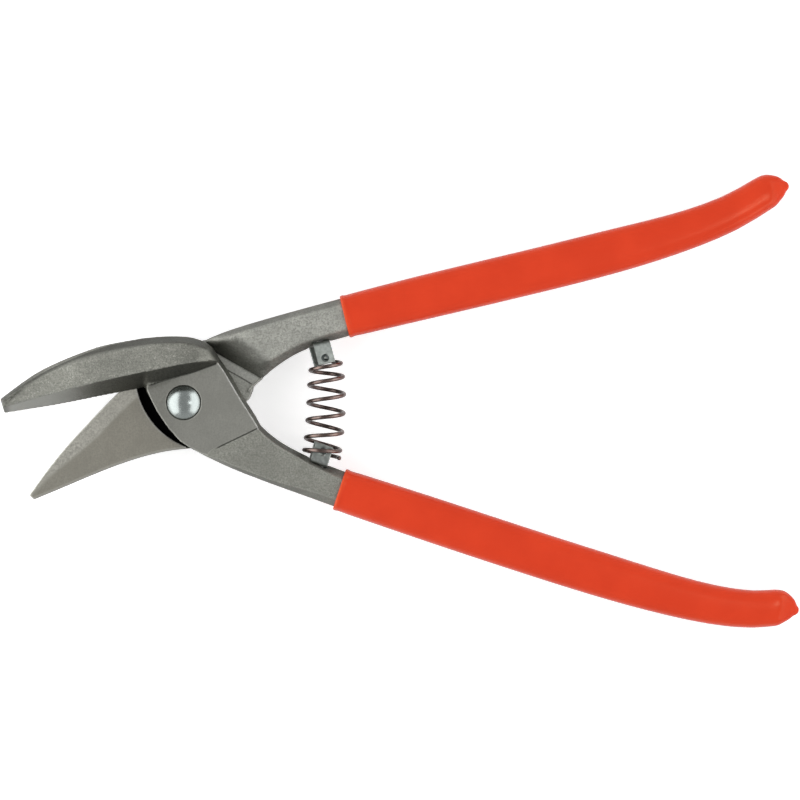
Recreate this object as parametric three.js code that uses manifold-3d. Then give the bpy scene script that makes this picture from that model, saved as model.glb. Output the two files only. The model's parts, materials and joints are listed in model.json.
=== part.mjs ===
// Ideal-pattern (pelican) tin snips for right-hand cuts, with the jaws open.
//
// Millimetres, +Z up. The tool lies on its back. The pivot axis is the Z axis, the blades point to -X
// and the handles to +X. The origin is the centre of the pivot bolt's flat end, the lowest face.
// Heights of the levers are written from the shear plane, where the two blades slide past each other,
// and SHEAR_Z lifts them into the part's frame.
//
// Two drop forgings cross at a lap joint: the front one carries the upper blade and the lower handle,
// the rear one carries the lower blade and the upper handle. A compression spring stands between two
// sheet-steel seats and pushes the handles apart.

import * as THREE from "three";
import { mergeVertices } from "three/addons/utils/BufferGeometryUtils.js";
import Module from "manifold-3d";

// ---- Driving dimensions ----------------------------------------------------------------------

const CLEARANCE = 0.3; // between pieces that are cut to fit each other

// Lap joint, from the shear plane
const FRONT_LAP_TOP = 5.0;
const FRONT_LAP_BOTTOM = -2.4;
const REAR_LAP_TOP = -2.5;
const REAR_LAP_BOTTOM = -7.8;
const LAP_DRAFT = 1.2; // how far the front lap's right side leans in
const BURIED = 0.15; // how far a joined shape starts below the face it grows out of

// Handles, from the shear plane
const BAR_TOP = 5.4;
const BAR_BOTTOM = -6.0;
const BAR_MIDDLE = (BAR_TOP + BAR_BOTTOM) / 2;
const BAR_LAND = 0.8; // half height of the upright strip at the parting line
const HOLLOW_RUN = 8; // length of the hollow that leads from the lap up to the handle

// Pivot
const BOLT_RADIUS = 4;
const BORE_RADIUS = BOLT_RADIUS + 0.15;
const HEAD_RADIUS = 5.6;
const HEAD_RIM = 0.7;
const HEAD_DOME = 2.5;
const RECESS_RADIUS = 6.1;
const RECESS_DEPTH = 0.7;
const WASHER_RADIUS = 7.4;
const WASHER_THICKNESS = 1.8;
const NUT_ACROSS_FLATS = 13;
const NUT_HEIGHT = 4.2;
const BOLT_PROUD = 1.0; // threaded end past the nut

const WASHER_BOTTOM = REAR_LAP_BOTTOM - WASHER_THICKNESS;
const NUT_BOTTOM = WASHER_BOTTOM - NUT_HEIGHT;
const BOLT_END = NUT_BOTTOM - BOLT_PROUD;
const SHEAR_Z = -BOLT_END;

// The round pocket of the rear lever that the front lap turns in
const POCKET_CENTRE = new THREE.Vector2(10.3, 10.1);
const POCKET_RADIUS = 27;
const BOSS_RADIUS = 19; // the front lap's lower part stays inside this, clear of the hollow

// Where the hollow of the rear lever starts: a line at this distance from the pivot
const HOLLOW_DISTANCE = 20.1;
const HOLLOW_ANGLE = THREE.MathUtils.degToRad(60.1);
const HOLLOW_NORMAL = new THREE.Vector2(Math.cos(HOLLOW_ANGLE), Math.sin(HOLLOW_ANGLE));

// Grips of dipped vinyl
const GRIP_WALL = 1.0;
const MOUTH_THICKNESS = 13.2;
const GRIP_THICKNESS = 11.4;
const NOSE_THICKNESS = 10.6;
const NOSE_LENGTH = 6.6;
const NIB_LENGTH = 1.2; // the drop that hardened at the tip of the nose
const NIB_RADIUS = 1.6;
const TANG_SHORT = 9; // the steel ends this far before the grip's tip
const TANG_START = 8; // from the mouth, where the forged bar has tapered into the tang
const TANG_BAND = 2.6; // width of the tang's flanks, seen from above

// Spring and its seats
const WIRE_RADIUS = 0.78;
const COIL_RADIUS = 5.92;
const COIL_TURNS = 6.25;
const TOP_PITCH = 0.6; // pitch at the wire's ends, as a share of the pitch in the middle
const BOTTOM_PITCH = 0.35;
const START_ANGLE = THREE.MathUtils.degToRad(72);
const SEAT_LENGTH = 6;
const SEAT_DEPTH = 7.2;
const SEAT_HEIGHT = 8;
const SEAT_SHEET = 1.0;
const SEAT_SINK = 1.0; // how deep a seat is let into its handle
const BARB_RADIUS = 1.2;
const BARB_RISE = 0.55;

// ---- Finishes --------------------------------------------------------------------------------

const steel = (colour, roughness) =>
  new THREE.MeshStandardMaterial({ color: colour, roughness, metalness: 1 });
const FORGED = steel(0x86867f, 0.5);
const BRIGHT = steel(0xb4bab8, 0.25);
const ZINC = steel(0x9aa19f, 0.35);
const TEMPERED = steel(0x5a4438, 0.4);
const VINYL = new THREE.MeshStandardMaterial({ color: 0xe04123, roughness: 0.3, metalness: 0 });

// ---- Tools for closed bodies -----------------------------------------------------------------

const wasm = await Module();
wasm.setup();

const vectors = (pairs) => pairs.map(([x, y]) => new THREE.Vector2(x, y));
const mix = THREE.MathUtils.lerp;
const smooth = (x) => THREE.MathUtils.smoothstep(x, 0, 1);

// A solid of manifold-3d from any closed geometry, with its faces turned outwards.
function solidOf(geometry) {
  const bare = new THREE.BufferGeometry().setAttribute("position", geometry.getAttribute("position"));
  if (geometry.index) bare.setIndex(geometry.index);
  const merged = mergeVertices(bare, 1e-3);
  const position = merged.getAttribute("position");
  const triVerts = new Uint32Array(merged.index.array);
  const [a, b, c] = [new THREE.Vector3(), new THREE.Vector3(), new THREE.Vector3()];
  let volume = 0;
  for (let i = 0; i < triVerts.length; i += 3) {
    a.fromBufferAttribute(position, triVerts[i]);
    b.fromBufferAttribute(position, triVerts[i + 1]);
    c.fromBufferAttribute(position, triVerts[i + 2]);
    volume += a.dot(b.cross(c));
  }
  if (volume < 0) triVerts.reverse();
  return new wasm.Manifold(new wasm.Mesh({ numProp: 3, vertProperties: position.array, triVerts }));
}

function meshOf(name, solid, material) {
  const { numProp, vertProperties, triVerts } = solid.getMesh();
  const points = new Float32Array((vertProperties.length / numProp) * 3);
  for (let i = 0; i < points.length; i += 1) {
    points[i] = vertProperties[Math.floor(i / 3) * numProp + (i % 3)];
  }
  const geometry = new THREE.BufferGeometry();
  geometry.setAttribute("position", new THREE.BufferAttribute(points, 3));
  geometry.setIndex(new THREE.BufferAttribute(new Uint32Array(triVerts), 1));
  geometry.computeVertexNormals();
  const mesh = new THREE.Mesh(geometry, material);
  mesh.name = name;
  return mesh;
}

// Triangles between neighbouring rings of equally many points, then the two end caps.
function skin(rings, capTriangles) {
  const count = rings[0].length;
  const index = [];
  for (let r = 0; r + 1 < rings.length; r += 1) {
    for (let i = 0; i < count; i += 1) {
      const a = r * count + i;
      const b = r * count + ((i + 1) % count);
      index.push(a, b, b + count, a, b + count, a + count);
    }
  }
  const last = (rings.length - 1) * count;
  for (const [i, j, k] of capTriangles) {
    index.push(i, k, j);
    index.push(last + i, last + j, last + k);
  }
  const geometry = new THREE.BufferGeometry().setFromPoints(rings.flat());
  geometry.setIndex(index);
  return solidOf(geometry);
}

// A body through rings whose outline is convex.
function loft(rings) {
  const caps = [];
  for (let i = 1; i + 1 < rings[0].length; i += 1) caps.push([0, i, i + 1]);
  return skin(rings, caps);
}

// A body between an outline at zLow and one of equally many points at zHigh.
function prism(lowOutline, highOutline, zLow, zHigh) {
  const ring = (outline, z) => outline.map((p) => new THREE.Vector3(p.x, p.y, z));
  const caps = THREE.ShapeUtils.triangulateShape(lowOutline, []);
  return skin([ring(lowOutline, zLow), ring(highOutline, zHigh)], caps);
}

// An upright cylinder on the Z axis, or at another centre.
function cylinder(radius, zLow, zHigh, segments = 48, centre = new THREE.Vector2()) {
  const geometry = new THREE.CylinderGeometry(radius, radius, zHigh - zLow, segments);
  geometry.rotateX(Math.PI / 2);
  geometry.translate(centre.x, centre.y, (zLow + zHigh) / 2);
  return solidOf(geometry);
}

// A body turned about the Z axis from [radius, z] pairs that start and end on the axis.
function turned(profile, segments = 48) {
  const geometry = new THREE.LatheGeometry(vectors(profile), segments);
  geometry.rotateX(Math.PI / 2);
  return solidOf(geometry);
}

const joined = (...solids) => solids.reduce((sum, solid) => sum.add(solid));

// ---- Handles: a forged bar that runs on as the tang inside the grip ---------------------------

// Centre lines of the two grips, from the mouth to the tip. Both tips curl the same way.
const UPPER_LINE = new THREE.SplineCurve(vectors([
  [54.9, 29.3], [80, 35.5], [106, 41.7], [132, 48.0], [158, 54.8], [175, 60.1], [187, 65.0],
  [195, 69.5], [200.5, 72.7], [206.9, 74.4],
]));
const LOWER_LINE = new THREE.SplineCurve(vectors([
  [53.1, -29.6], [80, -38.5], [106, -47.1], [132, -55.5], [158, -63.4], [176.5, -68.2], [190.2, -70.4],
  [199, -70.5], [204.5, -70.0], [210.3, -71.4],
]));

// Widths of the two grips along their length, from mouth (0) to tip (1).
const UPPER_WIDTHS = new THREE.SplineCurve(
  vectors([[0, 14.3], [0.2, 14.9], [0.4, 15.0], [0.6, 14.7], [0.8, 12.7], [1, 11.2]]),
);
const LOWER_WIDTHS = new THREE.SplineCurve(
  vectors([[0, 14.3], [0.2, 14.9], [0.4, 15.0], [0.6, 14.8], [0.8, 13.3], [1, 12.0]]),
);

function gripThickness(share) {
  if (share < 0.2) return mix(MOUTH_THICKNESS, GRIP_THICKNESS, smooth(share / 0.2));
  return mix(GRIP_THICKNESS, NOSE_THICKNESS, smooth((share - 0.2) / 0.8));
}

// The point of a grip's centre line at an arc-length share, and the direction across it.
function frameAt(line, share) {
  const along = line.getTangentAt(share);
  return { centre: line.getPointAt(share), across: new THREE.Vector2(-along.y, along.x) };
}

// A bar's cross-section between an outer and an inner point of its outline: flat on top and below,
// with a drafted flank of bandOuter and bandInner on each side of the parting line.
function barRing(outer, inner, bands, topAt, bottomAt, grow = 0) {
  const across = outer.clone().sub(inner).normalize();
  const at = (point, inset, z) => {
    const p = point.clone().addScaledVector(across, inset);
    return new THREE.Vector3(p.x, p.y, z);
  };
  const top = (point, inset) => {
    const p = point.clone().addScaledVector(across, inset);
    return at(point, inset, topAt(p) + grow);
  };
  const bottom = (point, inset) => {
    const p = point.clone().addScaledVector(across, inset);
    return at(point, inset, bottomAt(p) - grow);
  };
  const landTop = (point) => Math.min(BAR_MIDDLE + BAR_LAND, topAt(point) - 0.1) + grow / 2;
  const landBottom = (point) => Math.max(BAR_MIDDLE - BAR_LAND, bottomAt(point) + 0.1) - grow / 2;
  const middle = outer.clone().lerp(inner, 0.5);
  return [
    at(outer, grow, landBottom(outer)),
    at(outer, grow, landTop(outer)),
    top(outer, grow - bands.outer),
    top(middle, 0),
    top(inner, bands.inner - grow),
    at(inner, -grow, landTop(inner)),
    at(inner, -grow, landBottom(inner)),
    bottom(inner, bands.inner - grow),
    bottom(middle, 0),
    bottom(outer, grow - bands.outer),
  ];
}

// Rings of the forged bar between the lap and the grip's mouth.
function forgedRings(bar) {
  return bar.stations.map(({ outer, inner }) => {
    const ease = smooth(outer + inner - 1);
    const bands = {
      outer: mix(bar.bands.outer, TANG_BAND, ease),
      inner: mix(bar.bands.inner, TANG_BAND, ease),
    };
    return barRing(bar.outer.getPoint(outer), bar.inner.getPoint(inner), bands, bar.topAt, bar.bottomAt);
  });
}

// Rings of the tang inside the grip, or of the cavity that holds it when they grow.
function tangRings(bar, grow = 0) {
  const rings = [];
  const length = bar.line.getLength();
  const bands = { outer: TANG_BAND, inner: TANG_BAND };
  const steps = 10;
  for (let i = 0; i <= steps; i += 1) {
    const share = mix(TANG_START / length, 1 - (TANG_SHORT - grow) / length, i / steps);
    const { centre, across } = frameAt(bar.line, share);
    const half = (bar.widths.getPoint(share).y / 2 - GRIP_WALL - CLEARANCE) * Math.sign(centre.y);
    const height = gripThickness(share) / 2 - GRIP_WALL - CLEARANCE;
    const outer = centre.clone().addScaledVector(across, half);
    const inner = centre.clone().addScaledVector(across, -half);
    rings.push(barRing(outer, inner, bands, () => BAR_MIDDLE + height, () => BAR_MIDDLE - height, grow));
  }
  return rings;
}

// The grip's cavity: the tang and the end of the bar with clearance, pulled out through the mouth.
function cavityRings(bar) {
  const bands = { outer: TANG_BAND, inner: TANG_BAND };
  const outward = bar.line.getTangentAt(0).multiplyScalar(-2);
  const mouth = [new THREE.Vector2(), outward].reverse().map((shift) => {
    const outer = bar.outer.getPoint(1).add(shift);
    const inner = bar.inner.getPoint(1).add(shift);
    return barRing(outer, inner, bands, bar.topAt, bar.bottomAt, CLEARANCE);
  });
  return [...mouth, ...tangRings(bar, CLEARANCE)];
}

const handle = (bar) => loft([...forgedRings(bar), ...tangRings(bar)]);

// Height of the surface that climbs out of the lap, at a distance past the line where it starts.
function climb(from, to, past) {
  const share = THREE.MathUtils.clamp(past / HOLLOW_RUN, 0, 1);
  return mix(from, to, Math.sin((share * Math.PI) / 2));
}

const REAR_OUTER = new THREE.SplineCurve(vectors([
  [4, 19.0], [7.7, 21.4], [12.3, 23.4], [19.2, 25.8], [31, 29.3], [42.5, 32.5], [53.3, 35.4],
]));
const REAR_INNER = new THREE.SplineCurve(vectors([
  [21.9, 3.7], [24.3, 5.4], [26.8, 8.2], [31, 12.0], [38.8, 17.0], [47.5, 20.3], [56.3, 22.9],
]));

// The share of a curve at which it has gone a given distance past the hollow's line.
function shareAtHollow(curve, past) {
  let [low, high] = [0, 1];
  for (let i = 0; i < 20; i += 1) {
    const middle = (low + high) / 2;
    if (curve.getPoint(middle).dot(HOLLOW_NORMAL) < HOLLOW_DISTANCE + past) low = middle;
    else high = middle;
  }
  return low;
}

// Stations of the rear bar: parallel to the hollow while it lasts, then evenly on to the mouth.
function rearStations() {
  const stations = [{ outer: 0, inner: 0 }];
  const hollowSteps = 8;
  for (let i = 0; i <= hollowSteps; i += 1) {
    const past = (HOLLOW_RUN * i) / hollowSteps;
    stations.push({ outer: shareAtHollow(REAR_OUTER, past), inner: shareAtHollow(REAR_INNER, past) });
  }
  const last = stations.at(-1);
  const steps = 11;
  for (let i = 1; i <= steps; i += 1) {
    stations.push({ outer: mix(last.outer, 1, i / steps), inner: mix(last.inner, 1, i / steps) });
  }
  return stations;
}

const REAR_BAR = {
  outer: REAR_OUTER,
  inner: REAR_INNER,
  bands: { outer: 3.0, inner: 3.4 },
  topAt: (p) => climb(REAR_LAP_TOP - 2 * BURIED, BAR_TOP, p.dot(HOLLOW_NORMAL) - HOLLOW_DISTANCE),
  bottomAt: () => BAR_BOTTOM,
  line: UPPER_LINE,
  widths: UPPER_WIDTHS,
  stations: rearStations(),
};

const FRONT_BAR = {
  outer: new THREE.SplineCurve(vectors([
    [8.0, -18.4], [14.5, -21.5], [21.5, -24.4], [31, -28.0], [41, -31.6], [51.2, -35.3],
  ])),
  inner: new THREE.SplineCurve(vectors([
    [26.6, -8.3], [29.4, -10.9], [33.8, -14.1], [39.7, -17.3], [46.8, -20.6], [54.9, -23.7],
  ])),
  bands: { outer: 1.2, inner: 1.5 },
  topAt: () => BAR_TOP,
  bottomAt: (p) => climb(FRONT_LAP_BOTTOM - 0.4, BAR_BOTTOM, p.distanceTo(FRONT_STEP_AT(p))),
  line: LOWER_LINE,
  widths: LOWER_WIDTHS,
  stations: Array.from({ length: 13 }, (_, i) => ({ outer: i / 12, inner: i / 12 })),
};

// The nearest point of the milled step across the front lever, where its lap ends.
function FRONT_STEP_AT(p) {
  const start = new THREE.Vector2(8.0, -18.4);
  const along = new THREE.Vector2(26.6, -8.3).sub(start).normalize();
  return start.addScaledVector(along, p.clone().sub(start).dot(along));
}

// ---- Front lever: upper blade, front lap, lower handle ----------------------------------------

// Right side of the front lap, from the handle up to the back of the blade.
const LAP_RIGHT = [
  [26.6, -8.3], [24.6, -5.0], [20.2, 1.9], [15.0, 10.8], [12.7, 14.2], [11.3, 16.4], [9.6, 18.7], [7.5, 20.7],
];
// Left side of the front lap, from the blade's root down to the notch at the handle.
const LAP_LEFT = [
  [-12.8, 4.3], [-10.9, 0.9], [-8.9, -3.2], [-4.8, -9.1], [-1.0, -13.2], [2.2, -15.3],
];

function frontLap() {
  const lean = new THREE.Vector2(-0.85, -0.527).multiplyScalar(LAP_DRAFT);
  const under = [[5.5, -17.0], [8.9, -18.8], [16, -19.5], [26, -12.5]];
  const above = [[3, 21.5], [-4.1, 21.8], [-11, 20.5], [-12.5, 16], [-12.8, 8]];
  const low = vectors([...under, ...LAP_RIGHT, ...above, ...LAP_LEFT]);
  const high = low.map((p, i) => {
    const onRight = i >= under.length && i < under.length + LAP_RIGHT.length;
    return onRight ? p.clone().add(lean) : p.clone();
  });
  return prism(low, high, 0, FRONT_LAP_TOP);
}

// The lap's lower part, which turns in the rear lever's pocket.
function frontBoss() {
  const arc = new THREE.EllipseCurve(0, 0, BOSS_RADIUS, BOSS_RADIUS, 0.84, 2.0).getPoints(8);
  const under = vectors([[5.5, -17.0], [8.9, -18.6], [16, -18.5], [26.2, -9.5]]);
  const right = vectors([[24.6, -5.0], [20.2, 1.9], [15.0, 10.8]]);
  const left = vectors([[-12.5, 6.0], ...LAP_LEFT.slice(1)]);
  const outline = [...under, ...right, ...arc, ...left];
  return prism(outline, outline, FRONT_LAP_BOTTOM, 1);
}

// Four edges of the upper blade, each from the tip to the right end: the cutting edge (which becomes
// the foot of the ledge on the lap), the ledge, the inside of the rim bevel, and the back.
const BLADE_FOOT = new THREE.SplineCurve(vectors([
  [-61.2, -3.6], [-52, -2.2], [-42.4, -0.6], [-28.7, 2.2], [-15.9, 4.7],
  [-12.4, 5.4], [-4.5, 8.0], [3, 10.1], [8.0, 11.9], [11.2, 13.2],
]));
const BLADE_LEDGE = new THREE.SplineCurve(vectors([
  [-61.6, -1.5], [-52, 1.2], [-42.4, 3.8], [-28.7, 7.3], [-15.9, 10.1],
  [-12.4, 10.9], [-4.5, 12.5], [3, 13.8], [8.3, 14.2], [11.4, 13.9],
]));
const BLADE_RIM = new THREE.SplineCurve(vectors([
  [-62.2, 0.6], [-52, 6.9], [-42.4, 11.6], [-28.7, 16.2], [-15.9, 19.1],
  [-12.4, 19.7], [-4.5, 20.5], [3, 20.0], [8.3, 17.6], [11.4, 15.0],
]));
const BLADE_BACK = new THREE.SplineCurve(vectors([
  [-62.6, 1.2], [-52, 9.0], [-42.4, 14.0], [-28.7, 19.1], [-15.9, 21.6],
  [-12.4, 22.1], [-4.5, 22.6], [3, 22.1], [8.7, 19.7], [12.0, 15.4],
]));
// Heights of the ledge over the shear plane at the same ten places.
const LEDGE_HEIGHTS = new THREE.SplineCurve(vectors([
  [0, 4.4], [1, 5.6], [2, 6.8], [3, 8.4], [4, 9.8], [5, 10.2], [6, 11.0], [7, 11.2], [8, 9.4], [9, 6.2],
]));
const FOOT_ON_LAP = 4.4; // the foot of the ledge, just below the lap's face
const LAP_STARTS = 0.54; // share of the blade where the lap's left side meets it
const RIM_DROP = 1.6;
const BACK_SHARE = 0.3;
const BLADE_STEPS = 36;

function upperBlade() {
  const rings = [];
  for (let i = 0; i <= BLADE_STEPS; i += 1) {
    const share = i / BLADE_STEPS;
    const ledge = LEDGE_HEIGHTS.getPoint(share).y;
    const foot = share < LAP_STARTS ? 0 : FOOT_ON_LAP;
    const on = (curve, z) => {
      const p = curve.getPoint(share);
      return new THREE.Vector3(p.x, p.y, z);
    };
    const rim = ledge - RIM_DROP * smooth(4 * share);
    const back = BLADE_BACK.getPoint(share);
    const below = back.clone().lerp(BLADE_FOOT.getPoint(share), 0.08);
    rings.push([
      on(BLADE_FOOT, foot),
      on(BLADE_LEDGE, ledge),
      on(BLADE_RIM, rim),
      new THREE.Vector3(back.x, back.y, ledge * BACK_SHARE),
      new THREE.Vector3(below.x, below.y, 0),
    ]);
  }
  return loft(rings);
}

// ---- Rear lever: lower blade, rear lap, upper handle ------------------------------------------

// The convex cutting edge and the bottom edge of the lower blade, from the tip to the root.
const EDGE_CUTTING = new THREE.SplineCurve(vectors([
  [-52.7, -31.6], [-45.8, -22.1], [-39, -13.9], [-32.1, -6.5], [-25.3, 0.6], [-18.5, 6.6], [-10, 11.5],
]));
const EDGE_BOTTOM = new THREE.SplineCurve(vectors([
  [-51.3, -33], [-42.4, -29.3], [-32.5, -25.1], [-23.5, -21.5], [-14.5, -18.5], [-6, -16.5], [2.2, -15.5],
]));

function lowerBlade() {
  const rings = [];
  const steps = 24;
  for (let i = 0; i <= steps; i += 1) {
    const share = i / steps;
    const cutting = EDGE_CUTTING.getPoint(share);
    const bottom = EDGE_BOTTOM.getPoint(share);
    const back = -mix(3.6, 6.6, smooth(share * 1.3));
    const width = cutting.distanceTo(bottom);
    const at = (inset, z) => {
      const p = cutting.clone().lerp(bottom, inset / width);
      return new THREE.Vector3(p.x, p.y, z);
    };
    const bevel = Math.min(0.5, width / 4);
    rings.push([
      at(0, 0),
      at(width - bevel, 0),
      at(width, -0.7),
      at(width, back / 2),
      at(width - 2 * bevel, back),
      at(Math.min(2.4, width / 3), back),
      at(0.25, -1.6),
    ]);
  }
  const pocket = cylinder(POCKET_RADIUS, REAR_LAP_TOP - BURIED, 10, 96, POCKET_CENTRE);
  return loft(rings).subtract(pocket);
}

// The flat plate of the lap that the front lever bears on.
function rearLap() {
  const hiddenTop = [[8.6, 21.6], [2, 20.2], [-5, 17.3], [-11.5, 13.2], [-17.5, 8.0]];
  const left = [[-18, 1], [-15.5, -8], [-8, -14.2], [-1, -14.7], [6, -13.0]];
  const lowerRight = [
    [12.5, -8.6], [18.4, -3.2], [21.0, 0.3], [22.2, 1.4], [22.9, 2.9], [23.6, 4.7], [23.4, 7.4],
  ];
  const plate = vectors([...hiddenTop, ...left, ...lowerRight]);
  return prism(plate, plate, REAR_LAP_BOTTOM, REAR_LAP_TOP);
}

// ---- Spring seats ------------------------------------------------------------------------------

// Each seat stands on its handle at a point of the inner edge, square to the handle.
// Angles are in degrees. A seat is twisted a little about the spring's axis.
const UPPER_SEAT = { base: new THREE.Vector2(46.3, 19.9), along: 14.2, side: -1, twist: -15 };
const LOWER_SEAT = { base: new THREE.Vector2(46.2, -20.3), along: -22, side: 1, twist: 6 };

// Puts a solid made around the seat's own origin (X along the handle, Y away from it) in place.
function placeSeat(solid, seat) {
  const twisted = solid.translate([0, -SEAT_SINK, 0]).rotate([0, seat.twist, 0]);
  const facing = seat.side < 0 ? twisted.rotate([180, 0, 0]) : twisted;
  return facing.rotate([0, 0, seat.along]).translate([seat.base.x, seat.base.y, BAR_MIDDLE]);
}

// A strip bent into a U, its web on the handle, with a half-moon barb pressed out of each leg.
function seatBody() {
  const half = SEAT_DEPTH / 2;
  const bend = 1.4;
  const u = new THREE.Shape();
  u.moveTo(-half, SEAT_HEIGHT);
  u.lineTo(-half, bend);
  u.absarc(-half + bend, bend, bend, Math.PI, 1.5 * Math.PI, false);
  u.absarc(half - bend, bend, bend, 1.5 * Math.PI, 2 * Math.PI, false);
  u.lineTo(half, SEAT_HEIGHT);
  u.lineTo(half - SEAT_SHEET, SEAT_HEIGHT);
  u.absarc(half - bend, bend, bend - SEAT_SHEET, 0, -Math.PI / 2, true);
  u.absarc(-half + bend, bend, bend - SEAT_SHEET, -Math.PI / 2, -Math.PI, true);
  u.lineTo(-half + SEAT_SHEET, SEAT_HEIGHT);
  u.closePath();
  const strip = new THREE.ExtrudeGeometry(u, { depth: SEAT_LENGTH, bevelEnabled: false, curveSegments: 5 });
  strip.translate(0, 0, -SEAT_LENGTH / 2);
  strip.rotateY(Math.PI / 2);
  let seat = solidOf(strip);
  for (const side of [1, -1]) {
    const barb = new THREE.CylinderGeometry(BARB_RADIUS * 0.6, BARB_RADIUS, BARB_RISE + 0.4, 12);
    barb.rotateX((side * Math.PI) / 2);
    barb.translate(0, SEAT_HEIGHT - 3.4, side * (half + BARB_RISE / 2 - 0.2));
    seat = seat.add(solidOf(barb));
  }
  return seat;
}

// The flat-bottomed slot in the handle that a seat is let into.
function seatSlot() {
  const slot = new THREE.BoxGeometry(SEAT_LENGTH + 2 * CLEARANCE, 4, SEAT_DEPTH + 2 * CLEARANCE);
  slot.translate(0, 2 - CLEARANCE, 0);
  return solidOf(slot);
}

// ---- Spring ------------------------------------------------------------------------------------

// Straight interpolation in a list of equally spaced values.
function valueAt(values, share) {
  const place = share * (values.length - 1);
  const before = Math.min(Math.floor(place), values.length - 2);
  return mix(values[before], values[before + 1], place - before);
}

// A right-hand coil on a slightly bowed centre line, wound closer at both ends.
class BowedHelix extends THREE.Curve {
  constructor(top, middle, bottom) {
    super();
    this.axis = new THREE.QuadraticBezierCurve(top, middle, bottom);
    const steps = 250;
    this.travelled = [0];
    for (let i = 0; i < steps; i += 1) {
      const turns = (COIL_TURNS * (i + 0.5)) / steps;
      this.travelled.push(this.travelled[i] + this.pitchAt(turns));
    }
  }

  // Relative pitch, from the top end of the wire down to the bottom end.
  pitchAt(turns) {
    const fromTop = mix(TOP_PITCH, 1, smooth(turns / 1.3));
    const fromBottom = mix(BOTTOM_PITCH, 1, smooth((COIL_TURNS - turns - 0.7) / 0.6));
    return Math.min(fromTop, fromBottom);
  }

  getPoint(share, target = new THREE.Vector3()) {
    const place = valueAt(this.travelled, share) / this.travelled.at(-1);
    const centre = this.axis.getPointAt(place);
    const along = this.axis.getTangentAt(place);
    const angle = START_ANGLE - 2 * Math.PI * COIL_TURNS * share;
    const sideways = COIL_RADIUS * Math.cos(angle);
    const depth = -COIL_RADIUS * Math.sin(angle);
    return target.set(centre.x - along.y * sideways, centre.y + along.x * sideways, BAR_MIDDLE + depth);
  }
}

function springBody() {
  const axis = [new THREE.Vector2(48.6, 14.1), new THREE.Vector2(49.4, -2.0), new THREE.Vector2(47.1, -18.4)];
  const wire = new THREE.Shape().absarc(0, 0, WIRE_RADIUS, 0, 2 * Math.PI);
  const coil = new THREE.ExtrudeGeometry(wire, {
    extrudePath: new BowedHelix(...axis),
    steps: Math.round(COIL_TURNS * 22),
    curveSegments: 4,
    bevelEnabled: false,
  });
  return solidOf(coil);
}

// ---- Grips -------------------------------------------------------------------------------------

// A rounded oval across the handle.
function ovalRing(centre, across, width, thickness) {
  const count = 24;
  const squareness = 2 / 3;
  const ring = [];
  for (let i = 0; i < count; i += 1) {
    const angle = (2 * Math.PI * i) / count;
    const [c, s] = [Math.cos(angle), Math.sin(angle)];
    const side = (Math.sign(c) * Math.abs(c) ** squareness * width) / 2;
    const height = (Math.sign(s) * Math.abs(s) ** squareness * thickness) / 2;
    const p = centre.clone().addScaledVector(across, side);
    ring.push(new THREE.Vector3(p.x, p.y, BAR_MIDDLE + height));
  }
  return ring;
}

// Half size of a grip's nose, at a distance from its tip: a blunt point that ends in the nib.
function noseHalf(half, fromTip) {
  const back = THREE.MathUtils.clamp(1 - (fromTip - NIB_LENGTH / 2) / NOSE_LENGTH, 0, 1);
  const nose = half * (1 - back ** 1.6) ** 0.8;
  const nib = NIB_RADIUS * Math.sqrt(1 - Math.max(1 - fromTip / NIB_LENGTH, 0) ** 2);
  return Math.max(nose, nib);
}

// A dipped sleeve over the tang, open at the mouth and closed at the tip.
function grip(bar) {
  const length = bar.line.getLength();
  const tipDistances = [0.06, 0.3, 0.8, 1.4, 2.1, 3, 4, 5.4, 7, 9];
  const bodySteps = 22;
  const bodyLength = length - tipDistances.at(-1);
  const distances = Array.from({ length: bodySteps }, (_, i) => length - (bodyLength * i) / bodySteps);
  const rings = [...distances, ...tipDistances.toReversed()].map((fromTip) => {
    const share = 1 - fromTip / length;
    const { centre, across } = frameAt(bar.line, share);
    const half = noseHalf(bar.widths.getPoint(share).y / 2, fromTip);
    const rise = noseHalf(gripThickness(share) / 2, fromTip);
    return ovalRing(centre, across, 2 * half, 2 * rise);
  });
  return loft(rings).subtract(loft(cavityRings(bar)));
}

// ---- Pivot bolt, washer and nut ----------------------------------------------------------------

function pivotBolt() {
  const seat = FRONT_LAP_TOP - RECESS_DEPTH;
  const rimTop = seat + HEAD_RIM;
  const sphere = (HEAD_RADIUS ** 2 + HEAD_DOME ** 2) / (2 * HEAD_DOME);
  const profile = [[0, BOLT_END], [BOLT_RADIUS - 0.7, BOLT_END], [BOLT_RADIUS, BOLT_END + 0.7]];
  profile.push([BOLT_RADIUS, seat], [HEAD_RADIUS, seat], [HEAD_RADIUS, rimTop]);
  const steps = 7;
  for (let i = 1; i < steps; i += 1) {
    const radius = HEAD_RADIUS * Math.cos((Math.PI * i) / (2 * steps));
    profile.push([radius, rimTop + HEAD_DOME - sphere + Math.sqrt(sphere ** 2 - radius ** 2)]);
  }
  profile.push([0, rimTop + HEAD_DOME]);
  return turned(profile);
}

// A split spring washer, flattened by the nut.
function pivotWasher() {
  const ring = cylinder(WASHER_RADIUS, WASHER_BOTTOM, REAR_LAP_BOTTOM);
  const split = new THREE.BoxGeometry(8, 0.8, 4);
  split.rotateX(THREE.MathUtils.degToRad(25));
  split.translate(8, 0, WASHER_BOTTOM + WASHER_THICKNESS / 2);
  const hole = cylinder(BORE_RADIUS, WASHER_BOTTOM - 1, REAR_LAP_BOTTOM + 1);
  return ring.subtract(hole).subtract(solidOf(split));
}

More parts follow.
